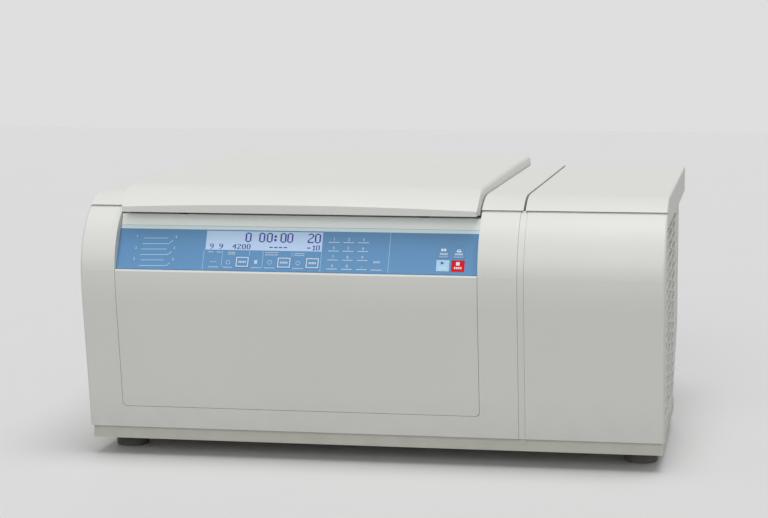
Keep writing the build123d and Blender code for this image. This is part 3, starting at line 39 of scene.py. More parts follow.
cameraView = {
    "place": (0.485, -2.8203, 0.578), "turn": 9.73, "down": 7.38, "roll": -0.11,
    "lens": 96.75, "sensor": 36.0, "shift": (-0.0307, 0.0229), "clip": (0.05, 60.0),
}
benchLook = {"seen": 0.75, "bounce": 0.33, "size": 14.0, "roughness": 0.6, "cloudSize": 3.0,
             "cloudDepth": 0.02}
skyLook = {"seen": 0.735, "light": 0.33}
sunSet = {
    # name: (degrees to the right of the front, degrees up, strength, width in degrees)
    "frontSun": (-4.0, 21.0, 0.87, 32.0),
    "overheadSun": (48.0, 79.0, 1.56, 40.0),
}
sunDistance = 4  # metres; a sun lights alike from any distance
noiseMiddle = 0.5  # the level that a noise pattern swings about


def makeCamera():
    data = bpy.data.cameras.new("photoCamera")
    camera = bpy.data.objects.new("photoCamera", data)
    scene.collection.objects.link(camera)
    turn, down, roll = (math.radians(cameraView[k]) for k in ("turn", "down", "roll"))
    aim = Vector((-math.sin(turn) * math.cos(down), math.cos(turn) * math.cos(down), -math.sin(down)))
    camera.rotation_mode = "QUATERNION"
    upright = aim.to_track_quat("-Z", "Y")
    camera.rotation_quaternion = upright @ Euler((0, 0, roll)).to_quaternion()
    camera.location = cameraView["place"]
    data.sensor_width = cameraView["sensor"]
    data.lens = cameraView["lens"]
    data.shift_x, data.shift_y = cameraView["shift"]
    data.clip_start, data.clip_end = cameraView["clip"]
    scene.camera = camera


def newGroup(name, inputs, outputs):
    tree = bpy.data.node_groups.new(name, "ShaderNodeTree")
    for title, kind, value in inputs:
        socket = tree.interface.new_socket(title, in_out="INPUT", socket_type=kind)
        socket.default_value = value
    for title, kind in outputs:
        tree.interface.new_socket(title, in_out="OUTPUT", socket_type=kind)
    return tree, tree.nodes.new("NodeGroupInput"), tree.nodes.new("NodeGroupOutput")


def join(tree, *pairs):
    for start, end in pairs:
        tree.links.new(start, end)


def feed(tree, socket, value):
    # a number is set on the socket, and another node's output is joined to it
    if isinstance(value, (int, float)):
        socket.default_value = value
    else:
        tree.links.new(value, socket)


def mathNode(tree, operation, a, b):
    node = tree.nodes.new("ShaderNodeMath")
    node.operation = operation
    feed(tree, node.inputs[0], a)
    feed(tree, node.inputs[1], b)
    return node.outputs[0]


def noiseNode(tree, vector, scale, detail=2.0, rough=0.5):
    node = tree.nodes.new("ShaderNodeTexNoise")
    node.inputs["Detail"].default_value = detail
    node.inputs["Roughness"].default_value = rough
    tree.links.new(vector, node.inputs["Vector"])
    feed(tree, node.inputs["Scale"], scale)
    return node.outputs["Fac"]


def rangeNode(tree, value, old, new):
    # maps the two ends of a range onto two new ends
    node = tree.nodes.new("ShaderNodeMapRange")
    for side, ends in (("From", old), ("To", new)):
        node.inputs[side + " Min"].default_value = ends[0]
        node.inputs[side + " Max"].default_value = ends[1]
    tree.links.new(value, node.inputs["Value"])
    return node.outputs["Result"]


def meshObject(name, verts, faces, material=None):
    mesh = bpy.data.meshes.new(name)
    mesh.from_pydata([Vector(v) for v in verts], [], faces)
    mesh.update()
    made = bpy.data.objects.new(name, mesh)
    scene.collection.objects.link(made)
    if material:
        mesh.materials.append(material)
    return made


def makeSun(name, turn, height, strength, width):
    data = bpy.data.lights.new(name, "SUN")
    data.energy, data.angle = strength, math.radians(width)
    lamp = bpy.data.objects.new(name, data)
    turn, height = math.radians(turn), math.radians(height)
    toward = Vector((math.sin(turn) * math.cos(height), -math.cos(turn) * math.cos(height), math.sin(height)))
    lamp.rotation_euler = toward.to_track_quat("Z", "Y").to_euler()
    lamp.location = toward * sunDistance
    scene.collection.objects.link(lamp)


def seenFactor(tree):
    # one for rays that show a surface to the camera, straight on, in a reflection or through glass
    paths = tree.nodes.new("ShaderNodeLightPath")
    either = mathNode(tree, "MAXIMUM", paths.outputs["Is Camera Ray"], paths.outputs["Is Glossy Ray"])
    return mathNode(tree, "MAXIMUM", either, paths.outputs["Is Transmission Ray"])


def makeBench():
    half = benchLook["size"] / 2
    floor = meshObject("benchTop", [(-half, -half, 0), (half, -half, 0), (half, half, 0), (-half, half, 0)],
                       [(0, 1, 2, 3)])
    material = bpy.data.materials.new("benchPale")
    material.use_nodes = True
    tree = material.node_tree
    shader = tree.nodes["Principled BSDF"]
    place = tree.nodes.new("ShaderNodeTexCoord").outputs["Object"]
    depth = benchLook["cloudDepth"]
    cloud = mathNode(tree, "MULTIPLY", noiseNode(tree, place, benchLook["cloudSize"]), depth)
    shade = mathNode(tree, "ADD", cloud, 1 - depth * noiseMiddle)
    level = rangeNode(tree, seenFactor(tree), (0, 1), (benchLook["bounce"], benchLook["seen"]))
    tree.links.new(mathNode(tree, "MULTIPLY", level, shade), shader.inputs["Base Color"])
    shader.inputs["Roughness"].default_value = benchLook["roughness"]
    floor.data.materials.append(material)


def makeRoom():
    world = bpy.data.worlds.new("softRoom")
    scene.world = world
    world.use_nodes = True
    tree = world.node_tree
    back = tree.nodes["Background"]
    back.inputs["Color"].default_value = (1.0, 1.0, 1.0, 1)
    level = rangeNode(tree, seenFactor(tree), (0, 1), (skyLook["light"], skyLook["seen"]))
    tree.links.new(level, back.inputs["Strength"])
    for name, values in sunSet.items():
        makeSun(name, *values)


makeCamera()
makeBench()
makeRoom()
scene.view_settings.view_transform = "Standard"
print("camera, bench and lamps ready")


# Finishes: shared effects as node groups, one material for each finish

toneLook = {"drift": 0.75, "speck": 0.25, "speckSize": 900.0}  # shares of slow drift and fine speck
# dust thickens from the height of none down to that of full, in metres
dustLook = {"none": 0.09, "full": 0.02, "cloudSize": 40.0, "colour": (0.42, 0.40, 0.36, 1)}
grainLook = {"broadSize": 14.0, "spread": 0.1, "driftSize": 6.0, "coatRoughness": 0.2}
brushLook = {"drift": 0.06, "driftSize": 9.0}
bumpStrength = 0.6


def toneDriftGroup():
    # slow changes of tone over a large face, and a little dust gathered low down
    tree, given, out = newGroup("toneDrift", [("Vector", "NodeSocketVector", (0, 0, 0)),
                                              ("Color", "NodeSocketColor", (1, 1, 1, 1)),
                                              ("Amount", "NodeSocketFloat", 0.04),
                                              ("Scale", "NodeSocketFloat", 6.0),
                                              ("Dust", "NodeSocketFloat", 0.1)],
                                [("Color", "NodeSocketColor")])
    place = given.outputs["Vector"]
    drift = noiseNode(tree, place, given.outputs["Scale"], detail=3.0)
    speck = noiseNode(tree, place, toneLook["speckSize"], detail=1.0)
    both = mathNode(tree, "ADD", mathNode(tree, "MULTIPLY", drift, toneLook["drift"]),
                    mathNode(tree, "MULTIPLY", speck, toneLook["speck"]))
    signed = mathNode(tree, "SUBTRACT", both, noiseMiddle)
    swing = mathNode(tree, "MULTIPLY", given.outputs["Amount"], 1 / noiseMiddle)
    gain = mathNode(tree, "ADD", mathNode(tree, "MULTIPLY", signed, swing), 1.0)
    scaled = tree.nodes.new("ShaderNodeVectorMath")
    scaled.operation = "SCALE"
    split = tree.nodes.new("ShaderNodeSeparateXYZ")
    join(tree, (given.outputs["Color"], scaled.inputs[0]), (gain, scaled.inputs["Scale"]),
         (place, split.inputs[0]))
    low = rangeNode(tree, split.outputs["Z"], (dustLook["none"], dustLook["full"]), (0, 1))
    cloud = noiseNode(tree, place, dustLook["cloudSize"], detail=4.0)
    mask = mathNode(tree, "MULTIPLY", mathNode(tree, "MULTIPLY", low, cloud), given.outputs["Dust"])
    dusty = tree.nodes.new("ShaderNodeMix")
    dusty.data_type = "RGBA"  # its colours come in at 6 and 7 and leave at 2
    dusty.inputs[7].default_value = dustLook["colour"]
    join(tree, (mask, dusty.inputs[0]), (scaled.outputs[0], dusty.inputs[6]),
         (dusty.outputs[2], out.inputs["Color"]))
    return tree


def closeGroup(tree, given, out, height, changing):
    # puts out the height as it is, and a roughness that swings with the changing pattern
    signed = mathNode(tree, "SUBTRACT", changing, noiseMiddle)
    change = mathNode(tree, "MULTIPLY", signed, given.outputs["Spread"])
    rough = mathNode(tree, "ADD", change, given.outputs["Roughness"])
    join(tree, (height, out.inputs["Height"]), (rough, out.inputs["Roughness"]))
    return tree


def fineGrainGroup():
    # the texture of paint or moulded plastic, as a height and a change of gloss
    tree, given, out = newGroup("fineGrain", [("Vector", "NodeSocketVector", (0, 0, 0)),
                                              ("Scale", "NodeSocketFloat", 900.0),
                                              ("Roughness", "NodeSocketFloat", 0.5),
                                              ("Spread", "NodeSocketFloat", 0.08)],
                                [("Height", "NodeSocketFloat"), ("Roughness", "NodeSocketFloat")])
    fine = noiseNode(tree, given.outputs["Vector"], given.outputs["Scale"], rough=0.6)
    broad = noiseNode(tree, given.outputs["Vector"], grainLook["broadSize"], detail=3.0)
    return closeGroup(tree, given, out, fine, broad)


def brushedGroup():
    # fine lines left by brushing or turning; stretch is small along the lines
    tree, given, out = newGroup("brushedLines", [("Vector", "NodeSocketVector", (0, 0, 0)),
                                                 ("Stretch", "NodeSocketVector", (1, 1, 1)),
                                                 ("Scale", "NodeSocketFloat", 600.0),
                                                 ("Roughness", "NodeSocketFloat", 0.3),
                                                 ("Spread", "NodeSocketFloat", 0.15)],
                                [("Height", "NodeSocketFloat"), ("Roughness", "NodeSocketFloat")])
    drawn = tree.nodes.new("ShaderNodeVectorMath")
    drawn.operation = "MULTIPLY"
    join(tree, (given.outputs["Vector"], drawn.inputs[0]), (given.outputs["Stretch"], drawn.inputs[1]))
    lines = noiseNode(tree, drawn.outputs[0], given.outputs["Scale"], detail=3.0, rough=0.7)
    return closeGroup(tree, given, out, lines, lines)


toneDrift = toneDriftGroup()
fineGrain = fineGrainGroup()
brushedLines = brushedGroup()

# colour, roughness, metal, grain size, bump height in metres, tone change, dust, clear coat
finishTable = {
    "coverPlastic": ((0.742, 0.748, 0.712), 0.47, 0.0, 1500.0, 0.00006, 0.03, 0.35, 0.0),
    "paintedSheet": ((0.738, 0.744, 0.71), 0.5, 0.0, 1100.0, 0.00008, 0.03, 0.35, 0.0),
    "basePaint": ((0.63, 0.635, 0.57), 0.52, 0.0, 1100.0, 0.00008, 0.04, 0.6, 0.0),
    "stripPlastic": ((0.735, 0.742, 0.705), 0.45, 0.0, 1500.0, 0.00005, 0.02, 0.3, 0.0),
    # the bezel's colour is lighter than the cover plastic's: painted light, making up for the shade that the
    # lid's lip casts on it
    "bezelPlasticPaintedLight": ((0.94, 0.97, 0.935), 0.42, 0.0, 1500.0, 0.00004, 0.02, 0.0, 0.1),
    "panelFoil": ((0.106, 0.284, 0.53), 0.38, 0.0, 2600.0, 0.00002, 0.05, 0.0, 0.2),
    "foilEdge": ((0.72, 0.92, 0.98), 0.38, 0.0, 2600.0, 0.00001, 0.03, 0.0, 0.2),
    "foilLine": ((0.54, 0.77, 0.92), 0.38, 0.0, 2600.0, 0.00001, 0.03, 0.0, 0.2),
    "foilInk": ((0.66, 0.79, 0.90), 0.45, 0.0, 2600.0, 0.00001, 0.03, 0.0, 0.0),
    "displayGlass": ((0.545, 0.735, 1.0), 0.16, 0.0, 800.0, 0.00001, 0.04, 0.0, 0.6),
    "displayInk": ((0.028, 0.014, 0.3), 0.35, 0.0, 800.0, 0.00001, 0.05, 0.0, 0.3),
    "startBlue": ((0.43, 0.68, 0.91), 0.4, 0.0, 2600.0, 0.00002, 0.03, 0.0, 0.2),
    "stopRed": ((0.72, 0.006, 0.012), 0.5, 0.0, 2600.0, 0.00002, 0.05, 0.0, 0.0),
    "inkWhite": ((0.85, 0.88, 0.9), 0.45, 0.0, 2600.0, 0.00001, 0.02, 0.0, 0.0),
    "circuitBoard": ((0.03, 0.16, 0.07), 0.4, 0.0, 500.0, 0.00003, 0.2, 0.0, 0.2),
    "footRubber": ((0.020, 0.024, 0.022), 0.8, 0.0, 700.0, 0.00015, 0.25, 0.5, 0.0),
    "sealRubber": ((0.02, 0.02, 0.022), 0.7, 0.0, 900.0, 0.0001, 0.2, 0.0, 0.0),
    "foamBuff": ((0.6, 0.52, 0.36), 0.85, 0.0, 300.0, 0.0004, 0.2, 0.0, 0.0),
    "motorCasting": ((0.38, 0.39, 0.40), 0.55, 0.85, 600.0, 0.00015, 0.12, 0.3, 0.0),
    "rotorAlloy": ((0.50, 0.51, 0.53), 0.38, 0.9, 900.0, 0.00004, 0.05, 0.0, 0.0),
    "compressorBlack": ((0.018, 0.018, 0.02), 0.35, 0.0, 500.0, 0.0001, 0.25, 0.5, 0.2),
    "finAluminium": ((0.62, 0.63, 0.64), 0.4, 0.9, 800.0, 0.00004, 0.1, 0.2, 0.0),
    "fanPlastic": ((0.025, 0.025, 0.027), 0.45, 0.0, 900.0, 0.00006, 0.2, 0.4, 0.0),
    "galvanised": ((0.55, 0.56, 0.56), 0.45, 0.8, 120.0, 0.00004, 0.18, 0.3, 0.0),
    "heatSink": ((0.42, 0.43, 0.44), 0.5, 0.85, 700.0, 0.00006, 0.1, 0.3, 0.0),
    # the lid's strikers are coloured near black: painted shade, so that they read as the dark gap under the
    # lid's lip
    "strikerPaintedShade": ((0.035, 0.035, 0.036), 0.5, 0.4, 900.0, 0.00004, 0.15, 0.0, 0.0),
    "inletBlack": ((0.016, 0.016, 0.017), 0.42, 0.0, 1300.0, 0.00006, 0.2, 0.0, 0.0),
}
# colour, roughness, spread, stretch of the lines, scale, bump height in metres
brushedTable = {
    "stainlessBowl": ((0.60, 0.60, 0.59), 0.3, 0.2, (0.02, 0.02, 1.0), 900.0, 0.00003),
    "linerSteel": ((0.60, 0.60, 0.59), 0.34, 0.18, (1.0, 0.02, 0.02), 900.0, 0.00003),
    "turnedSteel": ((0.50, 0.50, 0.50), 0.32, 0.15, (0.05, 0.05, 1.0), 1500.0, 0.00002),
    "zincPlate": ((0.58, 0.58, 0.55), 0.4, 0.2, (1.0, 0.2, 1.0), 700.0, 0.00002),
    "bucketSteel": ((0.58, 0.59, 0.60), 0.28, 0.15, (0.05, 0.05, 1.0), 1200.0, 0.00002),
    "copperTube": ((0.62, 0.27, 0.15), 0.35, 0.25, (0.3, 0.3, 1.0), 500.0, 0.00003),
}
mattPrint = {"stopRed": 1.25}  # refractive index of a print that throws back less of the room
finishes = {}


def groupNode(tree, group, values):
    node = tree.nodes.new("ShaderNodeGroup")
    node.node_tree = group
    for title, value in values.items():
        node.inputs[title].default_value = value
    return node


def makeFinish(name, driftValues, pattern, patternValues, height, shaderValues):
    material = bpy.data.materials.new(name)
    material.use_nodes = True
    tree = material.node_tree
    shader = tree.nodes["Principled BSDF"]
    place = tree.nodes.new("ShaderNodeTexCoord").outputs["Object"]
    drift = groupNode(tree, toneDrift, driftValues)
    texture = groupNode(tree, pattern, patternValues)
    bump = tree.nodes.new("ShaderNodeBump")
    bump.inputs["Strength"].default_value = bumpStrength
    bump.inputs["Distance"].default_value = height
    for title, value in shaderValues.items():
        shader.inputs[title].default_value = value
    join(tree, (place, drift.inputs["Vector"]), (place, texture.inputs["Vector"]),
         (drift.outputs["Color"], shader.inputs["Base Color"]),
         (texture.outputs["Roughness"], shader.inputs["Roughness"]),
         (texture.outputs["Height"], bump.inputs["Height"]),
         (bump.outputs["Normal"], shader.inputs["Normal"]))
    finishes[name] = material


for name, (colour, roughness, metal, grain, height, tone, dust, coat) in finishTable.items():
    driftValues = {"Color": (*colour, 1), "Amount": tone, "Scale": grainLook["driftSize"], "Dust": dust}
    grainValues = {"Scale": grain, "Roughness": roughness, "Spread": grainLook["spread"]}
    shaderValues = {"Metallic": metal, "Coat Weight": coat, "Coat Roughness": grainLook["coatRoughness"]}
    if name in mattPrint:
        shaderValues["IOR"] = mattPrint[name]
    makeFinish(name, driftValues, fineGrain, grainValues, height, shaderValues)
for name, (colour, roughness, spread, stretch, scale, height) in brushedTable.items():
    driftValues = {"Color": (*colour, 1), "Amount": brushLook["drift"], "Scale": brushLook["driftSize"],
                   "Dust": 0.0}
    lineValues = {"Stretch": stretch, "Scale": scale, "Roughness": roughness, "Spread": spread}
    makeFinish(name, driftValues, brushedLines, lineValues, height, {"Metallic": 1.0})

nodeFinish = {
    "base_pan": "basePaint", "feet": "footRubber", "front_panel_main": "coverPlastic",
    "front_panel_cooling": "coverPlastic", "joint_strip": "stripPlastic", "access_panel": "paintedSheet",
    "control_bezel": "bezelPlasticPaintedLight", "control_foil": "panelFoil", "display_module": "displayGlass",
    "control_board": "circuitBoard", "left_side_panel": "paintedSheet", "right_side_panel": "paintedSheet",
    "rear_panel": "paintedSheet", "cover_screws": "zincPlate", "top_cover_main": "coverPlastic",
    "top_cover_cooling": "coverPlastic", "lid_shell": "coverPlastic", "lid_liner": "linerSteel",
    "lid_seal": "sealRubber", "lid_hinge_arms": "zincPlate", "lid_hinge_brackets": "zincPlate",
    "lid_hinge_pins": "turnedSteel", "lid_strikers": "strikerPaintedShade", "lock_units": "motorCasting",
    "lock_bolt_left": "turnedSteel", "lock_bolt_right": "turnedSteel", "chamber_bowl": "stainlessBowl",
    "chamber_boot": "sealRubber", "evaporator_coil": "copperTube", "insulation": "foamBuff",
    "armour_ring": "galvanised", "motor_plate": "galvanised", "motor_mounts": "sealRubber",
    "motor_housing": "motorCasting", "motor_bearings": "turnedSteel", "drive_shaft": "turnedSteel",
    "rotor_cross": "rotorAlloy", "rotor_nut": "turnedSteel", "compressor": "compressorBlack",
    "compressor_grommets": "sealRubber", "condenser": "finAluminium", "fan_shroud": "galvanised",
    "fan_motor": "motorCasting", "fan_blade": "fanPlastic", "filter_drier": "copperTube",
    "refrigerant_pipes": "copperTube", "power_module": "heatSink", "mains_inlet": "inletBlack",
    "mains_rocker": "inletBlack", "key_speed": "panelFoil", "key_time": "panelFoil", "key_temp": "panelFoil",
    "key_start": "startBlue", "key_stop": "stopRed", "key_pulse": "panelFoil", "key_open": "panelFoil",
    "bucket_1": "bucketSteel", "bucket_2": "bucketSteel", "bucket_3": "bucketSteel",
    "bucket_4": "bucketSteel",
}
for title, finish in nodeFinish.items():
    nodes[title].data.materials.clear()
    nodes[title].data.materials.append(finishes[finish])
print("finishes:", len(finishes))


# Control panel print, drawn in millimetres on the panel's own slope: x across and s up the slope

panelPlace = {"bottom": (0.0, -0.2973, 0.2496), "run": 35.0, "rise": 68.0}
slopeLength = math.hypot(panelPlace["run"], panelPlace["rise"])
upSlope = Vector((0, panelPlace["run"], panelPlace["rise"])) / slopeLength
outward = Vector((0, -panelPlace["rise"], panelPlace["run"])) / slopeLength
numeralScale = 1.4  # size of the type over the height of its numerals


def onPanel(x, s, lift):
    bottom = Vector(panelPlace["bottom"])
    return bottom + Vector((x / 1000, 0, 0)) + upSlope * (s / 1000) + outward * (lift / 1000)


def printPiece(name, shapes, lift, finish, body):
    # flat printed shapes, each a closed outline of (x, s) points, as one thin mesh
    verts, faces = [], []
    for outline in shapes:
        first = len(verts)
        verts += [onPanel(x, s, lift) for x, s in outline]
        faces.append(tuple(range(first, first + len(outline))))
    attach(meshObject(name, verts, faces, finishes[finish]), body)


def stroke(width, *points):
    # a line of even width through the points
    shapes = []
    for (x1, s1), (x2, s2) in zip(points, points[1:]):
        length = math.hypot(x2 - x1, s2 - s1)
        nx, ns = (s1 - s2) / length * width / 2, (x2 - x1) / length * width / 2
        shapes.append([(x1 - nx, s1 - ns), (x2 - nx, s2 - ns), (x2 + nx, s2 + ns), (x1 + nx, s1 + ns)])
    return shapes


def patch(left, right, low, high):
    return [[(left, low), (right, low), (right, high), (left, high)]]


def keyFrame(left, right, low, high, width):
    # a border of even width just inside the four edges
    return [*patch(left, right, low, low + width), *patch(left, right, high - width, high),
            *patch(left, left + width, low + width, high - width),
            *patch(right - width, right, low + width, high - width)]


def ring(x, s, radius, width, start=0.0, sweep=360.0, steps=24):
    shapes = []
    outer, inner = radius + width / 2, radius - width / 2
    for step in range(steps):
        a = math.radians(start + sweep * step / steps)
        b = math.radians(start + sweep * (step + 1) / steps)
        shapes.append([(x + reach * math.cos(angle), s + reach * math.sin(angle))
                       for reach, angle in ((inner, a), (outer, a), (outer, b), (inner, b))])
    return shapes


def disc(x, s, wide, tall, steps=24):
    angles = [2 * math.pi * n / steps for n in range(steps)]
    return [[(x + wide / 2 * math.cos(angle), s + tall / 2 * math.sin(angle)) for angle in angles]]


def digits(text, x, s, height):
    # plain numerals as flat shapes, centred on a place on the panel
    curve = bpy.data.curves.new("numeral", "FONT")
    curve.body, curve.size = text, height * numeralScale
    curve.align_x = "CENTER"
    holder = bpy.data.objects.new("numeral", curve)
    scene.collection.objects.link(holder)
    mesh = bpy.data.meshes.new_from_object(holder.evaluated_get(bpy.context.evaluated_depsgraph_get()))
    shapes = [[(x + mesh.vertices[v].co.x, s - height / 2 + mesh.vertices[v].co.y) for v in face.vertices]
              for face in mesh.polygons]
    bpy.data.objects.remove(holder)
    bpy.data.curves.remove(curve)
    bpy.data.meshes.remove(mesh)
    return shapes


foilPrint = {
    "lift": 0.03, "lineWidth": 0.62, "dividerWidth": 0.4, "rowNumberHeight": 3.6,
    "edge": (-326.4, 140.4, 55.2, 59.9),
    # x, upper end, lower end
    "dividers": [(-213, 28, 0.8), (-188.5, 26.8, 5.6), (-153.2, 27, 20.4), (-135.4, 27, 4.8), (-98, 27, 20.4),
                 (-60, 28, 0.8), (27, 55.5, 0.8)],
    "rowLines": [[(-294.8, 42.1), (-262.4, 42.7)], [(-295.5, 34.4), (-260.7, 35.0), (-255.4, 39.8)],
                 [(-296.2, 27.0), (-262.8, 27.6)], [(-297.0, 19.4), (-260.2, 20.2), (-255.6, 24.3)],
                 [(-295.2, 12.1), (-264.7, 12.7)], [(-296.8, 4.4), (-260.1, 5.2), (-256.8, 9.1)]],
    "rowNumbers": [("1", -303.5, 45.1), ("2", -303.5, 28.9), ("3", -304.2, 13.7), ("4", -251.9, 44.6),
                   ("5", -252.6, 29.5), ("6", -252.4, 14.2)],
}


def makeFoilLines():
    printPiece("foilEdgeLine", patch(*foilPrint["edge"]), foilPrint["lift"], "foilEdge", "chassis")
    fine = []
    for x, high, low in foilPrint["dividers"]:
        fine += stroke(foilPrint["dividerWidth"], (x, low), (x, high))
    for points in foilPrint["rowLines"]:
        fine += stroke(foilPrint["lineWidth"], *points)
    for number, x, s in foilPrint["rowNumbers"]:
        fine += digits(number, x, s, foilPrint["rowNumberHeight"])
    printPiece("foilFineLines", fine, foilPrint["lift"], "foilLine", "chassis")


keypadPrint = {
    "columns": (-45.0, -26.0, -7.0), "rows": (45.0, 33.3, 21.2), "lastRow": 9.1, "numberHeight": 3.7,
    "under": 4.3, "halfWidth": 6.8, "underWidth": 0.75, "enter": [(4.8, 4.5), (19.1, 4.5)],
    "signWidth": 0.5, "sign": [[(-1.3, -1.2), (1.3, -1.2)], [(-1.3, 0.8), (1.3, 0.8)], [(0, -0.4), (0, 2.0)]],
    "pointDrop": 1.2, "pointSize": 1.1,
}


def makeKeypad():
    columns, rows, lastRow = keypadPrint["columns"], keypadPrint["rows"], keypadPrint["lastRow"]
    height, half, shapes = keypadPrint["numberHeight"], keypadPrint["halfWidth"], []
    for row, s in enumerate((*rows, lastRow)):
        under = s - keypadPrint["under"]
        for column, x in enumerate(columns):
            if row < len(rows):
                shapes += digits(str(row * len(columns) + column + 1), x, s, height)
            shapes += stroke(keypadPrint["underWidth"], (x - half, under), (x + half, under))
    signX, zeroX, pointX = columns
    shapes += digits("0", zeroX, lastRow, height)
    for line in keypadPrint["sign"]:
        shapes += stroke(keypadPrint["signWidth"], *((signX + x, lastRow + s) for x, s in line))
    size = keypadPrint["pointSize"]
    shapes += disc(pointX, lastRow - keypadPrint["pointDrop"], size, size)
    shapes += stroke(keypadPrint["underWidth"], *keypadPrint["enter"])
    printPiece("keypadNumerals", shapes, foilPrint["lift"], "foilInk", "chassis")


iconPrint = {
    "rings": [(-180.1, 11.2, 2.6), (-126.0, 12.2, 2.6), (-89.2, 11.8, 2.6)], "ringWidth": 0.45,
    "arcs": [(-201.6, 9.6), (-197.0, 9.6)], "arc": (2.2, 0.5, 35.0, 110.0, 10),
    # the cup's place, its rim (left, right, low, high) and its body, both round that place
    "cup": (-144.0, 12.2), "cupRim": (-2.1, 2.1, 1.0, 2.4),
    "cupBody": [(-1.5, -2.2), (1.5, -2.2), (2.1, 0.4), (-2.1, 0.4)],
}


def makeFoilIcons():
    icons = []
    for x, s, radius in iconPrint["rings"]:
        icons += ring(x, s, radius, iconPrint["ringWidth"])
    for x, s in iconPrint["arcs"]:
        icons += ring(x, s, *iconPrint["arc"])
    x, s = iconPrint["cup"]
    left, right, low, high = iconPrint["cupRim"]
    icons += patch(x + left, x + right, s + low, s + high)
    icons.append([(x + across, s + up) for across, up in iconPrint["cupBody"]])
    printPiece("foilIcons", icons, foilPrint["lift"], "foilInk", "chassis")


makeFoilLines()
makeKeypad()
makeFoilIcons()
print("foil print ready")


# Printed and lit dots, spread over points by one node tree

def dotTree():
    # sets one small flat dot at each point, leaning with the panel
    tree = bpy.data.node_groups.new("panelDots", "GeometryNodeTree")
    for title, kind, value in (("Geometry", "NodeSocketGeometry", None),
                               ("Dot Width", "NodeSocketFloat", 0.001),
                               ("Dot Height", "NodeSocketFloat", 0.001),
                               ("Tilt", "NodeSocketFloat", 1.0), ("Ink", "NodeSocketMaterial", None)):
        socket = tree.interface.new_socket(title, in_out="INPUT", socket_type=kind)
        if value is not None:
            socket.default_value = value
    tree.interface.new_socket("Geometry", in_out="OUTPUT", socket_type="NodeSocketGeometry")
    given, out = tree.nodes.new("NodeGroupInput"), tree.nodes.new("NodeGroupOutput")
    dot = tree.nodes.new("GeometryNodeMeshGrid")
    dot.inputs["Vertices X"].default_value = 2
    dot.inputs["Vertices Y"].default_value = 2
    lean = tree.nodes.new("ShaderNodeCombineXYZ")
    place = tree.nodes.new("GeometryNodeInstanceOnPoints")
    real = tree.nodes.new("GeometryNodeRealizeInstances")
    paint = tree.nodes.new("GeometryNodeSetMaterial")
    join(tree, (given.outputs["Geometry"], place.inputs["Points"]),
         (given.outputs["Dot Width"], dot.inputs["Size X"]),
         (given.outputs["Dot Height"], dot.inputs["Size Y"]), (dot.outputs["Mesh"], place.inputs["Instance"]),
         (given.outputs["Tilt"], lean.inputs["X"]), (lean.outputs[0], place.inputs["Rotation"]),
         (place.outputs["Instances"], real.inputs["Geometry"]),
         (real.outputs["Geometry"], paint.inputs["Geometry"]),
         (given.outputs["Ink"], paint.inputs["Material"]),
         (paint.outputs["Geometry"], out.inputs["Geometry"]))
    return tree


def grownMesh(name, points, tree, values, body):
    # runs a node tree over points and keeps its result as a plain mesh
    made = meshObject(name, points, [])
    grower = made.modifiers.new("grower", "NODES")
    grower.node_group = tree
    for item in tree.interface.items_tree:
        if item.in_out == "INPUT" and item.name in values:
            grower[item.identifier] = values[item.name]
    mesh = bpy.data.meshes.new_from_object(made.evaluated_get(bpy.context.evaluated_depsgraph_get()))
    made.modifiers.clear()
    made.data = mesh
    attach(made, body)


def dotPiece(name, places, dot, lift, finish, body):
    points = [onPanel(x, s, lift) for x, s in places]
    width, height = dot
    tilt = math.atan2(panelPlace["rise"], panelPlace["run"])
    values = {"Dot Width": width / 1000, "Dot Height": height / 1000, "Tilt": tilt, "Ink": finishes[finish]}
    grownMesh(name, points, panelDots, values, body)


def comb(left, right, s, pitch):
    # an even row of places, which stands for a printed word
    count = round((right - left) / pitch)
    return [(left + (right - left) * (step + 0.5) / count, s) for step in range(count)]


def glyphPlaces(rows, left, top, pitch):
    # a place for each mark of a character that is drawn in rows
    return [(left + (column + 0.5) * pitch[0], top - (row + 0.5) * pitch[1]) for row, text in enumerate(rows)
            for column, mark in enumerate(text) if mark == "#"]


panelDots = dotTree()
displayPrint = {
    "lift": -0.27,
    "tallTop": 52.1, "tallPitch": (0.98, 0.81), "tallDot": (0.97, 0.8),
    "tall": [("0", -160.7), ("0", -142.8), ("0", -132.9), (":", -122.9), ("0", -115.1), ("0", -106.2),
             ("2", -79.3), ("0", -70.3)],
    "smallTop": 36.2, "smallPitch": (0.72, 0.75), "smallDot": (0.71, 0.74),
    "small": [("9", -206.3), ("9", -194.0), ("4", -176.5), ("2", -170.3), ("0", -164.1), ("0", -157.9),
              ("-", -128.3), ("-", -122.1), ("-", -115.9), ("-", -109.7), ("-", -79.1), ("1", -73.2),
              ("0", -67.8)],
}
tallGlyphs = {
    "0": ["..####..", ".######."] + ["##....##"] * 12 + [".######.", "..####.."],
    "2": (["..####..", ".######.", "##....##"] + ["......##"] * 3
          + [".....##.", "....##..", "...##...", "..##....", ".##....."]
          + ["##......"] * 3 + ["########"] * 2),
    ":": ["..."] * 4 + ["###"] * 4 + ["..."] * 2 + ["###"] * 4 + ["..."] * 2,
}
smallGlyphs = {
    "9": [".#####.", "##...##", "##...##", "##...##", ".######", ".....##", "....##.", "...##..", ".###..."],
    "4": ["....##.", "...###.", "..####.", ".##.##.", "##..##.", "#######", "....##.", "....##.", "....##."],
    "2": [".#####.", "##...##", ".....##", "....##.", "...##..", "..##...", ".##....", "##.....", "#######"],
    "0": [".#####."] + ["##...##"] * 7 + [".#####."],
    "1": ["...##..", "..###..", ".####.."] + ["...##.."] * 5 + [".######"],
    "-": ["......."] * 4 + ["######."] * 2 + ["......."] * 3,
}


def makeDisplayDots(size, glyphs):
    # the characters of one size, each set by its left end
    top, pitch, dot = (displayPrint[size + part] for part in ("Top", "Pitch", "Dot"))
    places = []
    for character, x in displayPrint[size]:
        places += glyphPlaces(glyphs[character], x, top, pitch)
    dotPiece(size + "DisplayDots", places, dot, displayPrint["lift"], "displayInk", "chassis")


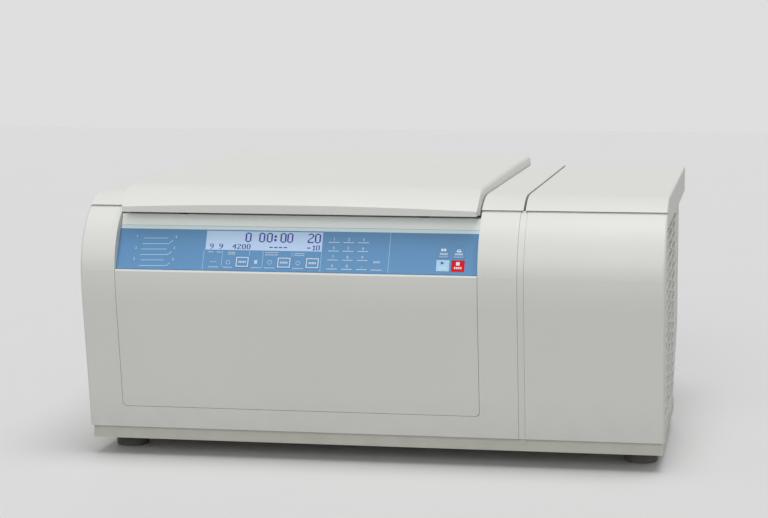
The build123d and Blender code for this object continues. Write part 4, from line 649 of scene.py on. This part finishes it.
# left end, right end and place up the slope of each comb of ticks on the foil
tickPrint = {
    "underKeys": [(-205.2, -192.2, 4.6), (-186.4, -174.1, 4.6), (-149.7, -136.7, 4.6), (-132.6, -118.8, 4.6),
                  (-96.1, -81.6, 4.6)],
    "labels": [(-207.5, -201.3, 24.9), (-196.3, -190.3, 24.8), (-181.3, -171.9, 24.6), (-181.3, -171.9, 22.3),
               (-133.0, -116.0, 25.4), (-133.0, -116.0, 22.2), (-95.4, -81.6, 24.6), (-95.4, -81.6, 22.1),
               (7.4, 16.4, 15.6), (7.4, 16.4, 14.2)],
    "dot": (0.62, 1.1), "pitch": 1.08,
}


def makeFoilTicks():
    ticks = []
    for left, right, s in tickPrint["underKeys"] + tickPrint["labels"]:
        ticks += comb(left, right, s, tickPrint["pitch"])
    dotPiece("foilTicks", ticks, tickPrint["dot"], foilPrint["lift"], "foilInk", "chassis")


# left, right, lower and upper edge of each key that travels
keyFaces = {
    "key_speed": (-170.4, -152.8, 4.6, 19.2), "key_time": (-116.2, -98.4, 4.6, 19.2),
    "key_temp": (-79.4, -61.8, 4.6, 19.2), "key_start": (87.8, 104.2, 4.4, 19.4),
    "key_stop": (106.8, 123.4, 4.4, 19.4), "key_pulse": (89.0, 103.0, 22.6, 38.0),
    "key_open": (108.2, 122.2, 22.6, 38.0),
}
keyPrint = {
    "lift": 0.53, "framed": ("key_speed", "key_time", "key_temp"), "frameInset": 0.8, "frameWidth": 0.9,
    "labelInset": 3, "labelPitch": 1.9, "labelDot": (1.2, 2.6), "underWidth": 0.5,
}
# each mark and the comb under it: left end, right end, place up the slope and pitch
keyMarks = {
    "start": {"ink": "displayInk", "shapes": [[(93.3, 17.2), (93.6, 13.1), (97.9, 15.6)]],
              "comb": (91.2, 101.3, 8.9, 2.0), "dot": (1.3, 2.6), "combInk": "foilInk"},
    "stop": {"ink": "inkWhite", "shapes": patch(112.7, 117.2, 12.5, 16.9),
             "comb": (110.1, 120.2, 9.1, 2.5), "dot": (1.7, 2.7), "combInk": "inkWhite"},
    "pulse": {"ink": "inkWhite",
              "shapes": (disc(94.1, 32.8, 3.3, 3.6) + disc(97.6, 32.8, 3.3, 3.6)
                         + stroke(keyPrint["underWidth"], (90.0, 23.6), (102.2, 23.6))),
              "comb": (91.0, 101.4, 27.4, 2.0), "dot": (1.3, 2.4), "combInk": "foilInk"},
    "open": {"ink": "inkWhite",
             "shapes": (patch(112.4, 118.4, 30.2, 32.0) + ring(115.4, 31.6, 2.2, 0.7, 10.0, 160.0, 12)
                        + stroke(keyPrint["underWidth"], (109.0, 23.6), (121.4, 23.6))),
             "comb": (110.4, 120.4, 27.4, 2.5), "dot": (1.6, 2.4), "combInk": "foilInk"},
}


def makeKeyPrint():
    lift, inset, indent = keyPrint["lift"], keyPrint["frameInset"], keyPrint["labelInset"]
    for key in keyPrint["framed"]:
        left, right, low, high = keyFaces[key]
        left, right, low, high = left + inset, right - inset, low + inset, high - inset
        border = keyFrame(left, right, low, high, keyPrint["frameWidth"])
        printPiece(key + "Frame", border, lift, "inkWhite", key)
        word = comb(left + indent, right - indent, (low + high) / 2, keyPrint["labelPitch"])
        dotPiece(key + "Label", word, keyPrint["labelDot"], lift, "foilInk", key)
    for title, mark in keyMarks.items():
        key = "key_" + title
        printPiece(title + "Mark", mark["shapes"], lift, mark["ink"], key)
        dotPiece(title + "Label", comb(*mark["comb"]), mark["dot"], lift, mark["combInk"], key)


keyWeb = {"gap": 0.015, "width": 0.27, "lift": -0.05}


def makeKeyWebs():
    # the foil's thin web, which closes the gap round each key
    web = []
    wide = keyWeb["width"] + keyWeb["gap"]
    for left, right, low, high in keyFaces.values():
        web += keyFrame(left - wide, right + wide, low - wide, high + wide, keyWeb["width"])
    printPiece("foilKeyWebs", web, keyWeb["lift"], "panelFoil", "chassis")


makeDisplayDots("tall", tallGlyphs)
makeDisplayDots("small", smallGlyphs)
makeFoilTicks()
makeKeyPrint()
makeKeyWebs()
print("display and key print ready")


# Moulded band under the lid's front edge, in metres, with depths from the front of the machine

# the lid's own lip, which the band follows
lidLip = {"left": -0.327, "right": 0.140, "leftTaper": 0.0068, "rightTaper": 0.0023, "taperEnd": 0.095,
          "halfSpan": 0.2375, "front": 0.013, "edgeHeight": 0.33164, "edgeArch": 0.00764,
          "backDepth": 0.043, "backHeight": 0.3196, "backArch": 0.00005}
lidBand = {"front": 0.0160, "inset": 0.0008, "thickness": 0.0014, "bottom": 0.3216, "legEnd": 0.0305,
           "frontLine": -0.303, "sink": 0.0006, "leastHeight": 0.0002, "steps": 48, "legSteps": 6}


def lipHeight(x, depth):
    # height of the lid's arched lip above the bench at a place in plan
    across = (x - (lidLip["left"] + lidLip["right"]) / 2) / lidLip["halfSpan"]
    share = depth / lidLip["backDepth"]
    arch = lidLip["edgeArch"] + (lidLip["backArch"] - lidLip["edgeArch"]) * share
    level = lidLip["edgeHeight"] + (lidLip["backHeight"] - lidLip["edgeHeight"]) * share
    return level + arch * (1 - across ** 2)


def flankPlace(side, inward, depth, inset):
    # place across the machine of the band's leg inside a flank, which tapers toward the front
    share = (lidLip["taperEnd"] - depth) / (lidLip["taperEnd"] - lidLip["front"])
    return lidLip[side] + inward * (lidLip[side + "Taper"] * share ** 2 + lidBand["inset"] + inset)


def lidBandPath(inset):
    # places along the band in plan, from the back of the left leg round to the back of the right one
    legStep = (lidBand["front"] + inset - lidBand["legEnd"]) / lidBand["legSteps"]
    legs = [lidBand["legEnd"] + legStep * n for n in range(lidBand["legSteps"] + 1)]
    leftLeg = [(flankPlace("left", 1, depth, inset), depth) for depth in legs]
    rightLeg = [(flankPlace("right", -1, depth, inset), depth) for depth in reversed(legs)]
    start, depth = leftLeg[-1]
    step = (rightLeg[0][0] - start) / lidBand["steps"]
    return leftLeg + [(start + step * n, depth) for n in range(1, lidBand["steps"])] + rightLeg


def bandTop(place):
    return max(lipHeight(*place) + lidBand["sink"], lidBand["bottom"] + lidBand["leastHeight"])


def makeLidBand():
    verts, faces = [], []
    bottom = lidBand["bottom"]
    for outer, inner in zip(lidBandPath(0.0), lidBandPath(lidBand["thickness"])):
        corners = ((outer, bandTop(outer)), (outer, bottom), (inner, bottom), (inner, bandTop(inner)))
        verts += [(x, lidBand["frontLine"] + depth, height) for (x, depth), height in corners]
    around = len(corners)
    for first in range(0, len(verts) - around, around):
        edges = [(first + k, first + (k + 1) % around) for k in range(around)]
        faces += [(a, b, b + around, a + around) for a, b in edges]
    faces += [(0, 3, 2, 1), tuple(range(len(verts) - around, len(verts)))]
    band = meshObject("lidFrontBand", verts, faces, finishes["coverPlastic"])
    shaped = bmesh.new()
    shaped.from_mesh(band.data)
    bmesh.ops.recalc_face_normals(shaped, faces=shaped.faces)
    shaped.to_mesh(band.data)
    shaped.free()
    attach(band, "lid")


makeLidBand()
print("lid band ready")
